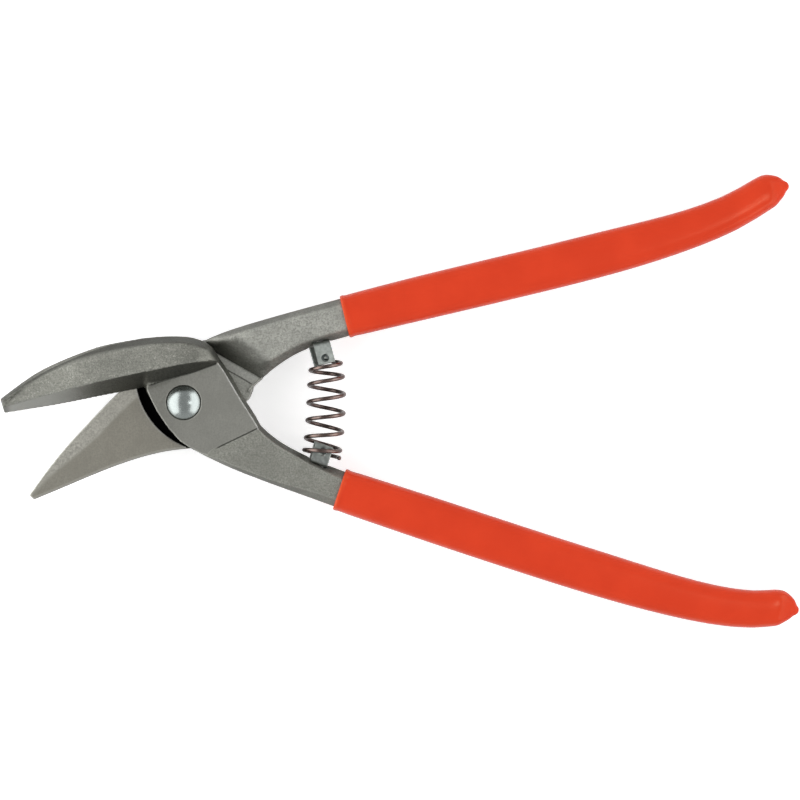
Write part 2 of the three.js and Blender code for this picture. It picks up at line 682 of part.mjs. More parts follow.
// A hexagon nut with its corners turned off below.
function pivotNut() {
  const corner = NUT_ACROSS_FLATS / 2 / Math.cos(Math.PI / 6);
  const hexagon = cylinder(corner, NUT_BOTTOM, WASHER_BOTTOM, 6);
  const cone = turned([
    [0, NUT_BOTTOM], [NUT_ACROSS_FLATS / 2 - 0.2, NUT_BOTTOM],
    [corner + 0.4, NUT_BOTTOM + 0.8], [corner + 0.4, WASHER_BOTTOM + 1], [0, WASHER_BOTTOM + 1],
  ]);
  return hexagon.intersect(cone).subtract(cylinder(BORE_RADIUS, NUT_BOTTOM - 1, WASHER_BOTTOM + 1));
}

// ---- Assembly ----------------------------------------------------------------------------------

function frontLever() {
  const forging = joined(frontLap(), frontBoss(), upperBlade(), handle(FRONT_BAR));
  const recess = cylinder(RECESS_RADIUS, FRONT_LAP_TOP - RECESS_DEPTH, FRONT_LAP_TOP + 5);
  return forging
    .subtract(cylinder(BORE_RADIUS, -20, 20))
    .subtract(recess)
    .subtract(placeSeat(seatSlot(), LOWER_SEAT));
}

function rearLever() {
  const forging = joined(rearLap(), lowerBlade(), handle(REAR_BAR));
  return forging.subtract(cylinder(BORE_RADIUS, -20, 20)).subtract(placeSeat(seatSlot(), UPPER_SEAT));
}

const snips = new THREE.Group();
snips.add(
  meshOf("upper_blade_lever", frontLever(), FORGED),
  meshOf("lower_blade_lever", rearLever(), FORGED),
  meshOf("pivot_bolt", pivotBolt(), BRIGHT),
  meshOf("pivot_washer", pivotWasher(), ZINC),
  meshOf("pivot_nut", pivotNut(), ZINC),
  meshOf("return_spring", springBody(), TEMPERED),
  meshOf("upper_spring_seat", placeSeat(seatBody(), UPPER_SEAT), ZINC),
  meshOf("lower_spring_seat", placeSeat(seatBody(), LOWER_SEAT), ZINC),
  meshOf("upper_handle_grip", grip(REAR_BAR), VINYL),
  meshOf("lower_handle_grip", grip(FRONT_BAR), VINYL),
);
snips.children.forEach((mesh) => {
  mesh.position.z = SHEAR_Z;
});

export default snips;
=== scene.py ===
"""Looks of a pair of pelican-pattern tin snips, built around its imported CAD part.

Lengths are in millimetres, in the part's frame, until a mesh is written in metres.
The pivot axis is Z, the blades point to -X and the handles to +X.
"""

import json
import math

import bmesh
import bpy
import numpy as np
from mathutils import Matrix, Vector

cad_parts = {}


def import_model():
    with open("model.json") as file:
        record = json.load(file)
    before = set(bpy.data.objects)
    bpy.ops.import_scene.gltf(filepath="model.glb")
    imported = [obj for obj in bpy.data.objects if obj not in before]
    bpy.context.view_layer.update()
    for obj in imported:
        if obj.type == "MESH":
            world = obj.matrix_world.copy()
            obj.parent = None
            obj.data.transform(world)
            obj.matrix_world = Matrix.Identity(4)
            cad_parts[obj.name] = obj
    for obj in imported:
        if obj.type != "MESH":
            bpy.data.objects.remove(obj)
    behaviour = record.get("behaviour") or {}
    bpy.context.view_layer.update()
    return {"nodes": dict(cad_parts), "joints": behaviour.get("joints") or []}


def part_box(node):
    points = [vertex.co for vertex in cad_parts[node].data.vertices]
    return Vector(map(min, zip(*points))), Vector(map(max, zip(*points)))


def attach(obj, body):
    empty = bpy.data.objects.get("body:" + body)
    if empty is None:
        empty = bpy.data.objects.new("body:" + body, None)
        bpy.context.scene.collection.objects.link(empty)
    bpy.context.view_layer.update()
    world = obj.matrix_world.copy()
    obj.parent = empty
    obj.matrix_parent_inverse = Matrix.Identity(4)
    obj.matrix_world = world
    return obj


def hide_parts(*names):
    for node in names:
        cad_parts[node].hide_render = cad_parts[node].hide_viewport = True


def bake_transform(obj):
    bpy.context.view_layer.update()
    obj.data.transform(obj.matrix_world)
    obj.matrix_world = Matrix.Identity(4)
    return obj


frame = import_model()

MM = 0.001
SHEAR_Z = frame["joints"][0]["pos_m"][2] / MM  # the plane in which the blades slide past each other
FRONT, REAR = "front_lever", "rear_lever"

# Heights from the shear plane
FRONT_LAP_TOP = 5.0
BAR_TOP = 5.4
REAR_LAP_TOP = -2.5

# Where each handle enters its grip: a point on the centre line, and the handle's direction there
UPPER_MOUTH = (np.array([54.9, 29.3]), np.array([0.971, 0.240]))
LOWER_MOUTH = (np.array([53.1, -29.6]), np.array([0.950, -0.314]))

# The lines that the milling cutters left where the lap faces end, as straight runs of points
FRONT_STEP = np.array([
    [7.0, -20.5], [9.3, -16.9], [12.0, -15.2], [18.0, -12.3], [24.0, -9.4], [28.0, -7.0],
])
REAR_STEP = np.array([[8.0, 15.0], [16.1, 10.4], [20.2, 8.1], [24.4, 5.5], [28.0, 3.1]])

# Outlines that finishes follow
LAP_RIGHT = np.array([
    [26.6, -8.3], [24.6, -5.0], [20.2, 1.9], [15.0, 10.8], [12.7, 14.2], [11.3, 16.4], [9.6, 18.7],
])
LAP_LEAN = np.array([-1.02, -0.63])  # how far the lap's right side leans in at its top
CUTTING_EDGE = np.array([
    [-52.7, -31.6], [-45.8, -22.1], [-39.0, -13.9], [-32.1, -6.5],
    [-25.3, 0.6], [-18.5, 6.6], [-10.0, 11.5],
])
BOTTOM_EDGE = np.array([
    [-51.3, -33.0], [-42.4, -29.3], [-32.5, -25.1], [-23.5, -21.5],
    [-14.5, -18.5], [-6.0, -16.5], [2.2, -15.5],
])
BLADE_BACK = np.array([
    [-62.0, 1.7], [-50.6, 10.8], [-38.3, 16.9], [-26.0, 20.2], [-13.7, 22.1], [-1.4, 22.7], [7.2, 20.8],
])
BLADE_FOOT = np.array([
    [-61.2, -3.6], [-52.0, -2.2], [-42.4, -0.6], [-28.7, 2.2], [-15.9, 4.7],
    [-12.4, 5.4], [-4.5, 8.0], [3.0, 10.1], [8.0, 11.9], [11.2, 13.2],
])
POCKET_CENTRE = np.array([10.3, 10.1])
POCKET_RADIUS = 27.0

# The hollow of the rear lever starts at a line across the handle, this far from the pivot
HOLLOW_NORMAL = np.array([0.498, 0.867])
HOLLOW_DISTANCE = 20.1
# x, and how far past that line the hollow's painted shade ends
HOLLOW_RIDGE = np.array([[10.0, 3.0], [14.0, 6.0], [18.0, 8.2], [24.0, 8.0], [28.0, 7.0], [32.0, 6.0]])
# how strong the hollow's painted shade is along the handle, and past the line
SHADE_FADING = np.array([[12.0, 0.95], [21.0, 0.88], [27.0, 0.66], [36.0, 0.0]])  # x, strength
SHADE_DEEPENING = np.array([[0.0, 0.6], [2.5, 0.8], [5.0, 1.0]])  # distance past the line, strength


# ---- Meshes ----------------------------------------------------------------------------------

def smoothstep(low, high, x):
    """0 below low, 1 above high, and a smooth rise between."""
    t = np.clip((x - low) / (high - low), 0.0, 1.0)
    return t * t * (3.0 - 2.0 * t)


def new_object(name, mesh):
    """Puts a mesh into the scene, smooth shaded."""
    obj = bpy.data.objects.new(name, mesh)
    bpy.context.scene.collection.objects.link(obj)
    mesh.polygons.foreach_set("use_smooth", [True] * len(mesh.polygons))
    return obj


def box_of(node):
    """The low and the high corner of a CAD node's box."""
    low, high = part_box(node)
    return np.array(low) / MM, np.array(high) / MM


def settled(obj, body, node):
    """Puts a finished piece on its body, in the place of its CAD node."""
    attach(obj, body)
    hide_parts(node)
    return obj


def object_from(name, points, faces):
    """A smooth object from points in millimetres."""
    mesh = bpy.data.meshes.new(name)
    mesh.from_pydata((np.asarray(points) * MM).tolist(), [], faces)
    mesh.validate()
    return new_object(name, mesh)


def points_of(mesh):
    co = np.empty(len(mesh.vertices) * 3, np.float32)
    mesh.vertices.foreach_get("co", co)
    return co.reshape(-1, 3).astype(float) / MM


def set_points(mesh, points):
    mesh.vertices.foreach_set("co", (points * MM).astype(np.float32).ravel())
    mesh.update()


def normals_of(mesh):
    n = np.empty(len(mesh.vertices) * 3, np.float32)
    mesh.vertex_normals.foreach_get("vector", n)
    return n.reshape(-1, 3).astype(float)


def edges_of(mesh):
    e = np.empty(len(mesh.edges) * 2, np.int32)
    mesh.edges.foreach_get("vertices", e)
    return e.reshape(-1, 2)


def welded(node):
    """A bmesh copy of a CAD node with its shared corners joined."""
    bm = bmesh.new()
    bm.from_mesh(frame["nodes"][node].data)
    bmesh.ops.remove_doubles(bm, verts=bm.verts, dist=0.002 * MM)
    return bm


def cut(bm, point, direction, keep_ahead):
    """Cuts a closed bmesh by an upright plane and closes it again."""
    place = Vector((point[0] * MM, point[1] * MM, 0.0))
    ahead = Vector((direction[0], direction[1], 0.0))
    geometry = bm.verts[:] + bm.edges[:] + bm.faces[:]
    result = bmesh.ops.bisect_plane(
        bm, geom=geometry, plane_co=place, plane_no=ahead,
        clear_inner=keep_ahead, clear_outer=not keep_ahead,
    )
    rim = [e for e in result["geom_cut"] if isinstance(e, bmesh.types.BMEdge)]
    bmesh.ops.holes_fill(bm, edges=rim)
    return bm


def mesh_from(bm, name):
    mesh = bpy.data.meshes.new(name)
    bm.to_mesh(mesh)
    bm.free()
    return mesh


def voxel_mesh(mesh, size):
    """The mesh rebuilt from cubes of this size."""
    holder = bpy.data.objects.new("remesh_holder", mesh)
    bpy.context.scene.collection.objects.link(holder)
    modifier = holder.modifiers.new("remesh", "REMESH")
    modifier.mode = "VOXEL"
    modifier.voxel_size = size * MM
    evaluated = holder.evaluated_get(bpy.context.evaluated_depsgraph_get())
    rebuilt = bpy.data.meshes.new_from_object(evaluated)
    bpy.data.objects.remove(holder)
    return rebuilt


def outer_shell(mesh):
    """Keeps only the largest connected part, so that no bubbles stay inside."""
    edges = edges_of(mesh)
    label = np.arange(len(mesh.vertices))
    while True:
        least = np.minimum(label[edges[:, 0]], label[edges[:, 1]])
        lower = label.copy()
        np.minimum.at(lower, edges[:, 0], least)
        np.minimum.at(lower, edges[:, 1], least)
        np.minimum.at(lower, label[edges[:, 0]], least)
        np.minimum.at(lower, label[edges[:, 1]], least)
        lower = lower[lower]
        if (lower == label).all():
            break
        label = lower
    largest = np.bincount(label).argmax()
    bm = bmesh.new()
    bm.from_mesh(mesh)
    inner = [v for v, own in zip(bm.verts, label) if own != largest]
    bmesh.ops.delete(bm, geom=inner, context="VERTS")
    return mesh_from(bm, mesh.name)


def neighbour_means(points, edges):
    """The mean of each point's neighbours along the edges."""
    count = len(points)
    degree = np.bincount(edges.ravel(), minlength=count)
    mean = np.empty_like(points)
    for axis in range(points.shape[1]):
        total = np.bincount(edges[:, 0], points[edges[:, 1], axis], count)
        total += np.bincount(edges[:, 1], points[edges[:, 0], axis], count)
        mean[:, axis] = total / np.maximum(degree, 1)
    return mean


def relax(points, edges, rounds, weight=1.0, back=0.52):
    """Smooths away the steps of the cubes. A back step after each round keeps the size."""
    for _ in range(rounds):
        points = points + 0.5 * weight * (neighbour_means(points, edges) - points)
        if back:
            points = points - back * weight * (neighbour_means(points, edges) - points)
    return points


def relax_locally(points, edges, rounds, weight):
    """Rounds the skin over, but only where the weight is above 0."""
    weight = np.where(weight > 0.002, weight, 0.0)
    close = (weight[edges[:, 0]] > 0.0) | (weight[edges[:, 1]] > 0.0)
    used, local = np.unique(edges[close], return_inverse=True)
    moved = points.copy()
    moved[used] = relax(points[used], local.reshape(-1, 2), rounds, weight=weight[used][:, None], back=0.0)
    return moved


def distance_to(line, p):
    """Distance from points to a run of straight pieces, with the sign of the side: + is left of it."""
    best = np.full(len(p), 1e9)
    sign = np.ones(len(p))
    for a, b in zip(line[:-1], line[1:]):
        along = b - a
        t = np.clip(((p - a) @ along) / (along @ along), 0.0, 1.0)
        offset = p - (a + t[:, None] * along)
        d = np.hypot(offset[:, 0], offset[:, 1])
        side = along[0] * (p[:, 1] - a[1]) - along[1] * (p[:, 0] - a[0])
        nearer = d < best
        sign = np.where(nearer, np.sign(side), sign)
        best = np.where(nearer, d, best)
    return best * sign


def curve(points):
    """A smooth run of 60 points through the given ones (a Catmull-Rom spline)."""
    padded = np.vstack([2 * points[0] - points[1], points, 2 * points[-1] - points[-2]])
    out = []
    pieces = len(points) - 1
    for share in np.linspace(0.0, pieces, 60):
        i = min(int(share), pieces - 1)
        t = share - i
        a, b, c, d = padded[i:i + 4]
        square = 2 * a - 5 * b + 4 * c - d
        cube = 3 * b - a - 3 * c + d
        out.append(0.5 * (2 * b + (c - a) * t + square * t**2 + cube * t**3))
    return np.array(out)


def attribute(obj, name, values):
    """Stores one number per vertex for the object's material."""
    layer = obj.data.attributes.new(name, "FLOAT", "POINT")
    layer.data.foreach_set("value", np.asarray(values, np.float32))


def sheet(name, grid, closed_rows=False):
    """A closed skin over a grid of points. Its columns wrap round; its rows wrap too, or end in caps."""
    rows, columns = grid.shape[:2]
    faces = []
    last = rows if closed_rows else rows - 1
    for r in range(last):
        below, above = r * columns, ((r + 1) % rows) * columns
        for c in range(columns):
            d = (c + 1) % columns
            faces.append((below + c, below + d, above + d, above + c))
    if not closed_rows:
        faces.append(tuple(reversed(range(columns))))
        faces.append(tuple(range((rows - 1) * columns, rows * columns)))
    return object_from(name, grid.reshape(-1, 3), faces)


# ---- Forgings --------------------------------------------------------------------------------

FORGING_VOXEL = 0.36
GRIND_STOCK = 0.14  # the forging is this much too full before its flat faces are ground
ROUNDED_STOCK = 0.12  # and this much fuller where it is rounded over, since rounding thins it
TANG_START = 8.0  # from the grip's mouth, where the coarse tang begins
TANG_OVERLAP = 0.1
FACE_BAND = 0.7  # points this near to a flat face's height belong to the face
LOWER_BLADE_END = 6.0  # the lower blade lies left of this x
SKIN_FROST = 0.4  # how many bright grains the skin has, against the upper blade's 1
FAR = 9.0  # stands for no line near


def forging(node, name, mouth, softness):
    """A lever's skin, rebuilt finely as far as it is seen, with its points and edges.

    softness gives, for each point, how far its edges are rounded, from 0 to 1.
    """
    point, direction = mouth
    seen = mesh_from(cut(welded(node), point + TANG_START * direction, direction, keep_ahead=False), name)
    fine = voxel_mesh(seen, FORGING_VOXEL)
    edges = edges_of(fine)
    points = relax(points_of(fine), edges, 7)
    soft = softness(points)
    points = relax_locally(points, edges, 40, soft)
    set_points(fine, points)
    points = points + (GRIND_STOCK + ROUNDED_STOCK * soft[:, None]) * normals_of(fine)
    return fine, points, edges


def roundness(points, edges, normals):
    """How far each point stands out of its surroundings: above 0 on edges, below 0 in corners."""
    smooth = relax(points, edges, 14, back=0.0)
    return ((points - smooth) * normals).sum(1)


def settle_skin(fine, points, edges):
    """Moves the skin to its ground points. Gives its normals and its roundness, with no deep corners
    on the faces that look down."""
    set_points(fine, points)
    normals = normals_of(fine)
    edge = roundness(points, edges, normals)
    return normals, np.where(normals[:, 2] < 0.0, np.maximum(edge, -0.05), edge)


def finished_forging(fine, marks, node, body, mouth, name):
    """Joins the coarse tang to the fine skin and stores the skin's marks; the tang's are 0."""
    point, direction = mouth
    tang = cut(welded(node), point + (TANG_START - TANG_OVERLAP) * direction, direction, keep_ahead=True)
    whole = bmesh.new()
    whole.from_mesh(fine)
    whole.from_mesh(mesh_from(tang, name + "_tang"))
    obj = new_object(name, mesh_from(whole, name))
    for mark, values in marks.items():
        padded = np.zeros(len(obj.data.vertices))
        padded[:len(values)] = values
        attribute(obj, mark, padded)
    return settled(obj, body, node)


def near(points, centre, radius):
    """1 at a centre, falling to 0 at the radius."""
    return smoothstep(radius, 0.0, np.linalg.norm(points - np.array(centre), axis=1))


def front_softness(points):
    """The root of the blade's wall is blended, and the blade's right end is rounded over."""
    wall_root = near(points, (-13.4, 6.5, SHEAR_Z + 5.0), 6.5)
    right_end = near(points, (9.0, 16.5, SHEAR_Z + 8.0), 7.0)
    step_end = near(points, (8.5, -18.0, SHEAR_Z + 5.0), 4.0)
    below_step = np.minimum(1.5 * near(points, (12.0, -17.0, SHEAR_Z - 4.0), 9.0), 1.0)
    handle = 0.35 * smoothstep(-1.0, -5.0, distance_to(FRONT_STEP, points[:, :2]))
    return np.maximum.reduce([wall_root, right_end, step_end, below_step, handle])


def rear_softness(points):
    """The hollow and the handle have generous radii."""
    past = points[:, :2] @ HOLLOW_NORMAL - HOLLOW_DISTANCE
    handle = smoothstep(0.4, 5.0, past) * (points[:, 0] > 0.0)
    plate_end = near(points, (24.2, 6.1, SHEAR_Z - 3.5), 5.0) * (past < 0.0)
    return np.maximum(handle, plate_end)


def grind_front(points, height, step, foot):
    """Grinds the cutting face, and mills the lap's face and the handle's face behind the step."""
    x = points[:, 0]
    beside_boss = (np.hypot(x, points[:, 1]) > 19.5) | (x < -13.0)
    under_blade = (height < 0.6) & (height > -0.9) & beside_boss
    points[under_blade, 2] = np.maximum(points[under_blade, 2], SHEAR_Z)
    lap = (np.abs(height - FRONT_LAP_TOP) < FACE_BAND) & (foot < 0.3)
    rise = (BAR_TOP - FRONT_LAP_TOP) * smoothstep(9.0, 14.0, x)
    lap_top = FRONT_LAP_TOP + np.where(step > 0.0, 0.0, rise)
    points[lap, 2] = np.minimum(points[lap, 2], SHEAR_Z + lap_top[lap])


def front_marks(points, height, step, foot, normals, edge):
    """How ground and frosty the front forging is at each point, where shade, light and highlights are
    painted on it, and where it is darker or rubbed.
    """
    flat = points[:, :2]
    x, y, up = points[:, 0], points[:, 1], normals[:, 2]
    at_lap_height = np.abs(height - FRONT_LAP_TOP) < 0.6
    on_lap = smoothstep(0.15, 0.5, step) * smoothstep(0.1, -0.4, foot) * at_lap_height
    on_blade = (height > 3.6) * smoothstep(0.0, 0.6, foot) * smoothstep(0.6, 0.85, up)
    at_handle = (x > 4.5) & (y < -8.0)
    under_ledge = (y < 15.5) & (x < 12.5) & (normals[:, 1] < 0.0) & ~at_handle
    # painted shade on steep faces: the wall under the ledge is bright at the tip and darkens towards the
    # lap, and the flanks are shaded less
    upright = np.where(under_ledge, smoothstep(0.9, 0.7, up), smoothstep(0.62, 0.3, up))
    flank = 0.4 * np.minimum(smoothstep(8.0, 20.0, x) + (y > -8.0), 1.0)
    wall = upright * np.where(under_ledge, 0.95 * smoothstep(-46.0, -18.0, x), flank)
    # painted shade along the blade's back, in the lap's corner, and on the lap towards the left and along
    # the wall's foot
    from_back = np.abs(distance_to(curve(BLADE_BACK), flat))
    rim = 0.72 * smoothstep(3.3, 2.0, from_back) * (height > 3.6) * ~under_ledge
    # the blade is darker at its tip
    tip = 0.5 * smoothstep(-58.5, -61.0, x)
    corner = 0.75 * np.minimum(1.6 * near(points, (-13.2, 8.0, SHEAR_Z + 5.0), 3.6), 1.0)
    # the blade's top is darker from its middle on, most at its right end
    darker_blade = 0.2 * on_blade * (smoothstep(-48.0, -26.0, x) + smoothstep(-6.0, 8.0, x))
    # painted shade on the lap, stronger towards the left and along the wall's foot
    lap_shade = on_lap * (0.2 + 0.4 * smoothstep(-1.8, 0.0, foot)) * smoothstep(4.0, -10.0, x)
    step_fading = 0.5 * smoothstep(12.5, 9.0, x)
    from_right = np.abs(distance_to(curve(LAP_RIGHT) + LAP_LEAN, flat) - 0.1)
    return dict(
        edge=np.where(under_ledge & (up < 0.9), np.minimum(edge, 0.0), edge),
        ground=on_lap * smoothstep(0.55, 0.9, up),
        frost=np.maximum(on_blade, SKIN_FROST),
        # the milled step, where a line of shade is painted
        step_line=np.where(np.abs(height - BAR_TOP) < 1.0, np.abs(step) + step_fading, FAR),
        # painted highlight along the lap's right edge
        highlight_line=np.where(height > 3.0, from_right + smoothstep(12.5, 16.0, y), FAR),
        wall=np.maximum.reduce([wall, rim, tip, corner, darker_blade, lap_shade]),
        # painted light on the wall under the ledge, near the tip
        lift=0.6 * upright * under_ledge * smoothstep(-28.0, -42.0, x),
        band=np.full(len(points), -FAR),
        bottom_line=np.full(len(points), FAR),
        pocket_shade=np.zeros(len(points)),
    )


def front_forging():
    """Upper blade, front lap and lower handle."""
    node, name = "upper_blade_lever", "front_forging"
    fine, points, edges = forging(node, name, LOWER_MOUTH, front_softness)
    height = points[:, 2] - SHEAR_Z
    step = distance_to(curve(FRONT_STEP), points[:, :2])
    foot = distance_to(curve(BLADE_FOOT), points[:, :2])
    grind_front(points, height, step, foot)
    normals, edge = settle_skin(fine, points, edges)
    marks = front_marks(points, height, step, foot, normals, edge)
    return finished_forging(fine, marks, node, FRONT, LOWER_MOUTH, name)


def grind_rear(points, height, from_pocket):
    """Grinds the blade's face just clear of the upper blade, and mills the pocket's floor."""
    blade = (height > -0.9) & (from_pocket > -0.5) & (points[:, 0] < LOWER_BLADE_END)
    points[blade, 2] = np.minimum(points[blade, 2], SHEAR_Z - 0.03)
    lap = (np.abs(height - REAR_LAP_TOP) < FACE_BAND) & (from_pocket < 0.4)
    points[lap, 2] = np.minimum(points[lap, 2], SHEAR_Z + REAR_LAP_TOP)


def hollow_shade(x, past):
    """Painted shade in the hollow, up to a soft ridge. It fades along the handle."""
    ridge = np.interp(x, *HOLLOW_RIDGE.T)
    inside = smoothstep(ridge + 1.4, ridge - 1.6, past) * (past > -0.2) * (x > 6.0)
    return inside * np.interp(past, *SHADE_DEEPENING.T) * np.interp(x, *SHADE_FADING.T)


def rear_marks(points, height, from_pocket, normals, edge):
    """How ground the rear forging is at each point, where shade and highlights are painted on it, and where
    its strip is lighter.
    """
    flat = points[:, :2]
    x, up = points[:, 0], normals[:, 2]
    step = distance_to(curve(REAR_STEP), flat)
    past = flat @ HOLLOW_NORMAL - HOLLOW_DISTANCE
    plate_end = (x > 19.0) & (past < 0.3)
    strip = smoothstep(0.2, 0.5, step) * (past < -0.1) * (x > 8.0) * (up > 0.8)
    on_blade = (height > -0.6) & (from_pocket > -0.3) & (x < LOWER_BLADE_END)
    band_width = 5.4 * smoothstep(-58.0, -28.0, x)
    from_bottom = np.abs(distance_to(curve(BOTTOM_EDGE), flat) - 0.5)
    beside_pocket = (height > -0.5) & (x < LOWER_BLADE_END)
    in_pocket = (np.abs(height - REAR_LAP_TOP) < 2.4) & (from_pocket < 0.1) & (up > 0.3)
    return dict(
        edge=np.where(plate_end, np.clip(edge, -0.05, 0.05), edge),
        ground=on_blade * smoothstep(0.55, 0.9, up),
        frost=np.full(len(points), SKIN_FROST),
        # the milled step, where a line of shade is painted
        step_line=np.where(np.abs(height - REAR_LAP_TOP) < 0.6, np.abs(step), FAR),
        # painted highlight along the pocket's rim
        highlight_line=np.where(beside_pocket, np.abs(from_pocket - 0.25), FAR),
        # painted shade on steep faces and in the hollow
        wall=np.maximum(0.5 * smoothstep(0.7, 0.4, up), hollow_shade(x, past)),
        # the rear lap's ground strip is lighter
        lift=0.25 * strip,
        band=np.where(on_blade, band_width + distance_to(curve(CUTTING_EDGE), flat), -FAR),
        bottom_line=np.where(on_blade, from_bottom, FAR),
        # painted shade: the pocket's floor is made nearly black
        pocket_shade=in_pocket * smoothstep(7.0, 2.0, x),
    )


def rear_forging():
    """Lower blade, rear lap and upper handle."""
    node, name = "lower_blade_lever", "rear_forging"
    fine, points, edges = forging(node, name, UPPER_MOUTH, rear_softness)
    height = points[:, 2] - SHEAR_Z
    from_pocket = np.hypot(*(points[:, :2] - POCKET_CENTRE).T) - POCKET_RADIUS
    grind_rear(points, height, from_pocket)
    normals, edge = settle_skin(fine, points, edges)
    marks = rear_marks(points, height, from_pocket, normals, edge)
    return finished_forging(fine, marks, node, REAR, UPPER_MOUTH, name)


# ---- Grips -----------------------------------------------------------------------------------

GRIP_VOXEL = 0.55
DIP_OVER_TANG = 0.45  # how much the tang is thickened, so that it fills the sleeve


def filled_sleeve(node, lever, mouth, name):
    """The CAD sleeve with its lever's tang inside it, as one closed mesh of fine cubes."""
    point, direction = mouth
    tang = cut(welded(lever), point - direction, direction, keep_ahead=True)
    tang.normal_update()
    for v in tang.verts:
        v.co += v.normal * DIP_OVER_TANG * MM
    whole = welded(node)
    whole.from_mesh(mesh_from(tang, name + "_core"))
    return outer_shell(voxel_mesh(mesh_from(whole, name), GRIP_VOXEL))


def grip(node, lever, body, mouth, name):
    """A dipped grip, smoothed, with a bead round its mouth and a full neck behind its nib."""
    point, direction = mouth
    filled = filled_sleeve(node, lever, mouth, name)
    edges = edges_of(filled)
    points = points_of(filled)
    past_mouth = (points[:, :2] - point) @ direction
    length = past_mouth.max()
    from_tip = length - past_mouth
    ease = 0.03 + 0.97 * smoothstep(0.8, 6.0, past_mouth)
    ease = (ease * (0.06 + 0.94 * smoothstep(1.0, 7.0, from_tip)))[:, None]
    # smooth hard, then give back the girth that smoothing took
    points = relax(points, edges, 6)
    eased = relax(points, edges, 45, weight=ease, back=0.0)
    shrinkage = relax(points - eased, edges, 45, back=0.0)
    points = eased + shrinkage * ease
    set_points(filled, points)
    bead = 0.22 * np.exp(-((past_mouth - 0.8) / 0.7) ** 2)
    neck = 0.3 * np.exp(-((from_tip - 2.6) / 1.3) ** 2)
    swell = 0.05 + 0.10 * ease + (bead + neck)[:, None]
    set_points(filled, points + normals_of(filled) * swell)
    bm = bmesh.new()
    bm.from_mesh(filled)
    obj = new_object(name, mesh_from(cut(bm, point + 0.05 * direction, direction, keep_ahead=True), name))
    from_mouth = (points_of(obj.data)[:, :2] - point) @ direction
    attribute(obj, "from_mouth", from_mouth)
    attribute(obj, "nose", smoothstep(9.0, 3.0, length - from_mouth))
    return settled(obj, body, node)


# ---- Spring ----------------------------------------------------------------------------------

WIRE_RADIUS = 0.70
COIL_TURNS = 6.25
START_ANGLE = math.radians(72.0)
TOP_NARROWING = 0.80  # the coil's width at its top and at its bottom, as shares of the CAD's
BOTTOM_WIDENING = 1.03
TOP_PITCH = 0.6  # the pitch at the wire's ends, as a share of the pitch in the middle
BOTTOM_PITCH = 0.35
END_ROUNDING = 0.5
STEPS_PER_TURN = 64
WIRE_SIDES = 20


def spring_axis(share):
    """The coil's bowed centre line and its direction, from the top end (0) to the bottom end (1)."""
    low, high = box_of("return_spring")
    middle = (low + high) / 2.0
    top = np.array([middle[0] + 0.5, high[1] - 0.9])
    side = np.array([middle[0] + 1.3, middle[1]])
    bottom = np.array([middle[0] - 1.0, low[1] + 1.8])
    t = np.asarray(share)[:, None]
    place = (1 - t) ** 2 * top + 2 * t * (1 - t) * side + t**2 * bottom
    along = 2 * (1 - t) * (side - top) + 2 * t * (bottom - side)
    return place, along / np.linalg.norm(along, axis=1)[:, None]


def travel(turns):
    """How far along the axis the wire has come, from 0 to 1. It climbs less near both ends."""
    from_top = TOP_PITCH + (1 - TOP_PITCH) * smoothstep(0.0, 2.3, turns)
    from_bottom = BOTTOM_PITCH + (1 - BOTTOM_PITCH) * smoothstep(0.7, 1.3, COIL_TURNS - turns)
    pitch = np.minimum(from_top, from_bottom)
    travelled = np.concatenate([[0.0], np.cumsum((pitch[1:] + pitch[:-1]) / 2)])
    return travelled / travelled[-1]


def helix(turns, share, widest, middle_z):
    """The wire's centre line, and at each of its points the directions outward and across."""
    place, along = spring_axis(share)
    angle = START_ANGLE - 2 * np.pi * turns
    radius = widest * (TOP_NARROWING + (BOTTOM_WIDENING - TOP_NARROWING) * smoothstep(-1.0, 2.6, turns))
    line = np.empty((len(turns), 3))
    line[:, 0] = place[:, 0] - along[:, 1] * radius * np.cos(angle)
    line[:, 1] = place[:, 1] + along[:, 0] * radius * np.cos(angle)
    line[:, 2] = middle_z - radius * np.sin(angle)
    tangent = np.gradient(line, axis=0)
    tangent /= np.linalg.norm(tangent, axis=1)[:, None]
    outward = line - np.column_stack([place, np.full(len(turns), middle_z)])
    outward -= (outward * tangent).sum(1)[:, None] * tangent
    outward /= np.linalg.norm(outward, axis=1)[:, None]
    return line, outward, np.cross(tangent, outward)


def wire_thickness(count, step):
    """The wire's radius at each row of points. Its cut ends are rounded over."""
    from_end = np.minimum(np.arange(count), np.arange(count)[::-1]) * step
    inside_end = 1 - np.clip(from_end / END_ROUNDING, 0, 1)
    return WIRE_RADIUS * np.sqrt(np.clip(1 - inside_end**2, 0.12, 1))


def spring():
    """The oil-tempered coil, swept along a right-hand helix."""
    low, high = box_of("return_spring")
    count = int(COIL_TURNS * STEPS_PER_TURN) + 1
    turns = np.linspace(0.0, COIL_TURNS, count)
    share = travel(turns)
    widest = (high[2] - low[2]) / 2.0 - WIRE_RADIUS
    line, outward, across = helix(turns, share, widest, (low[2] + high[2]) / 2.0)
    thickness = wire_thickness(count, 2 * np.pi * widest / STEPS_PER_TURN)
    around = np.linspace(0, 2 * np.pi, WIRE_SIDES, endpoint=False)
    grid = (
        line[:, None, :]
        + (thickness[:, None] * np.cos(around))[..., None] * outward[:, None, :]
        + (thickness[:, None] * np.sin(around))[..., None] * across[:, None, :]
    )
    obj = sheet("spring_wire", grid)
    attribute(obj, "along_wire", np.repeat(turns * 2 * np.pi * widest, WIRE_SIDES))
    attribute(obj, "around_wire", np.tile(around, count))
    # the coil's inner side, where shade is painted
    attribute(obj, "inside", np.tile(smoothstep(0.2, -0.8, np.cos(around)), count))
    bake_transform(obj)
    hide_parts("return_spring")
    return obj


# ---- Pivot -----------------------------------------------------------------------------------

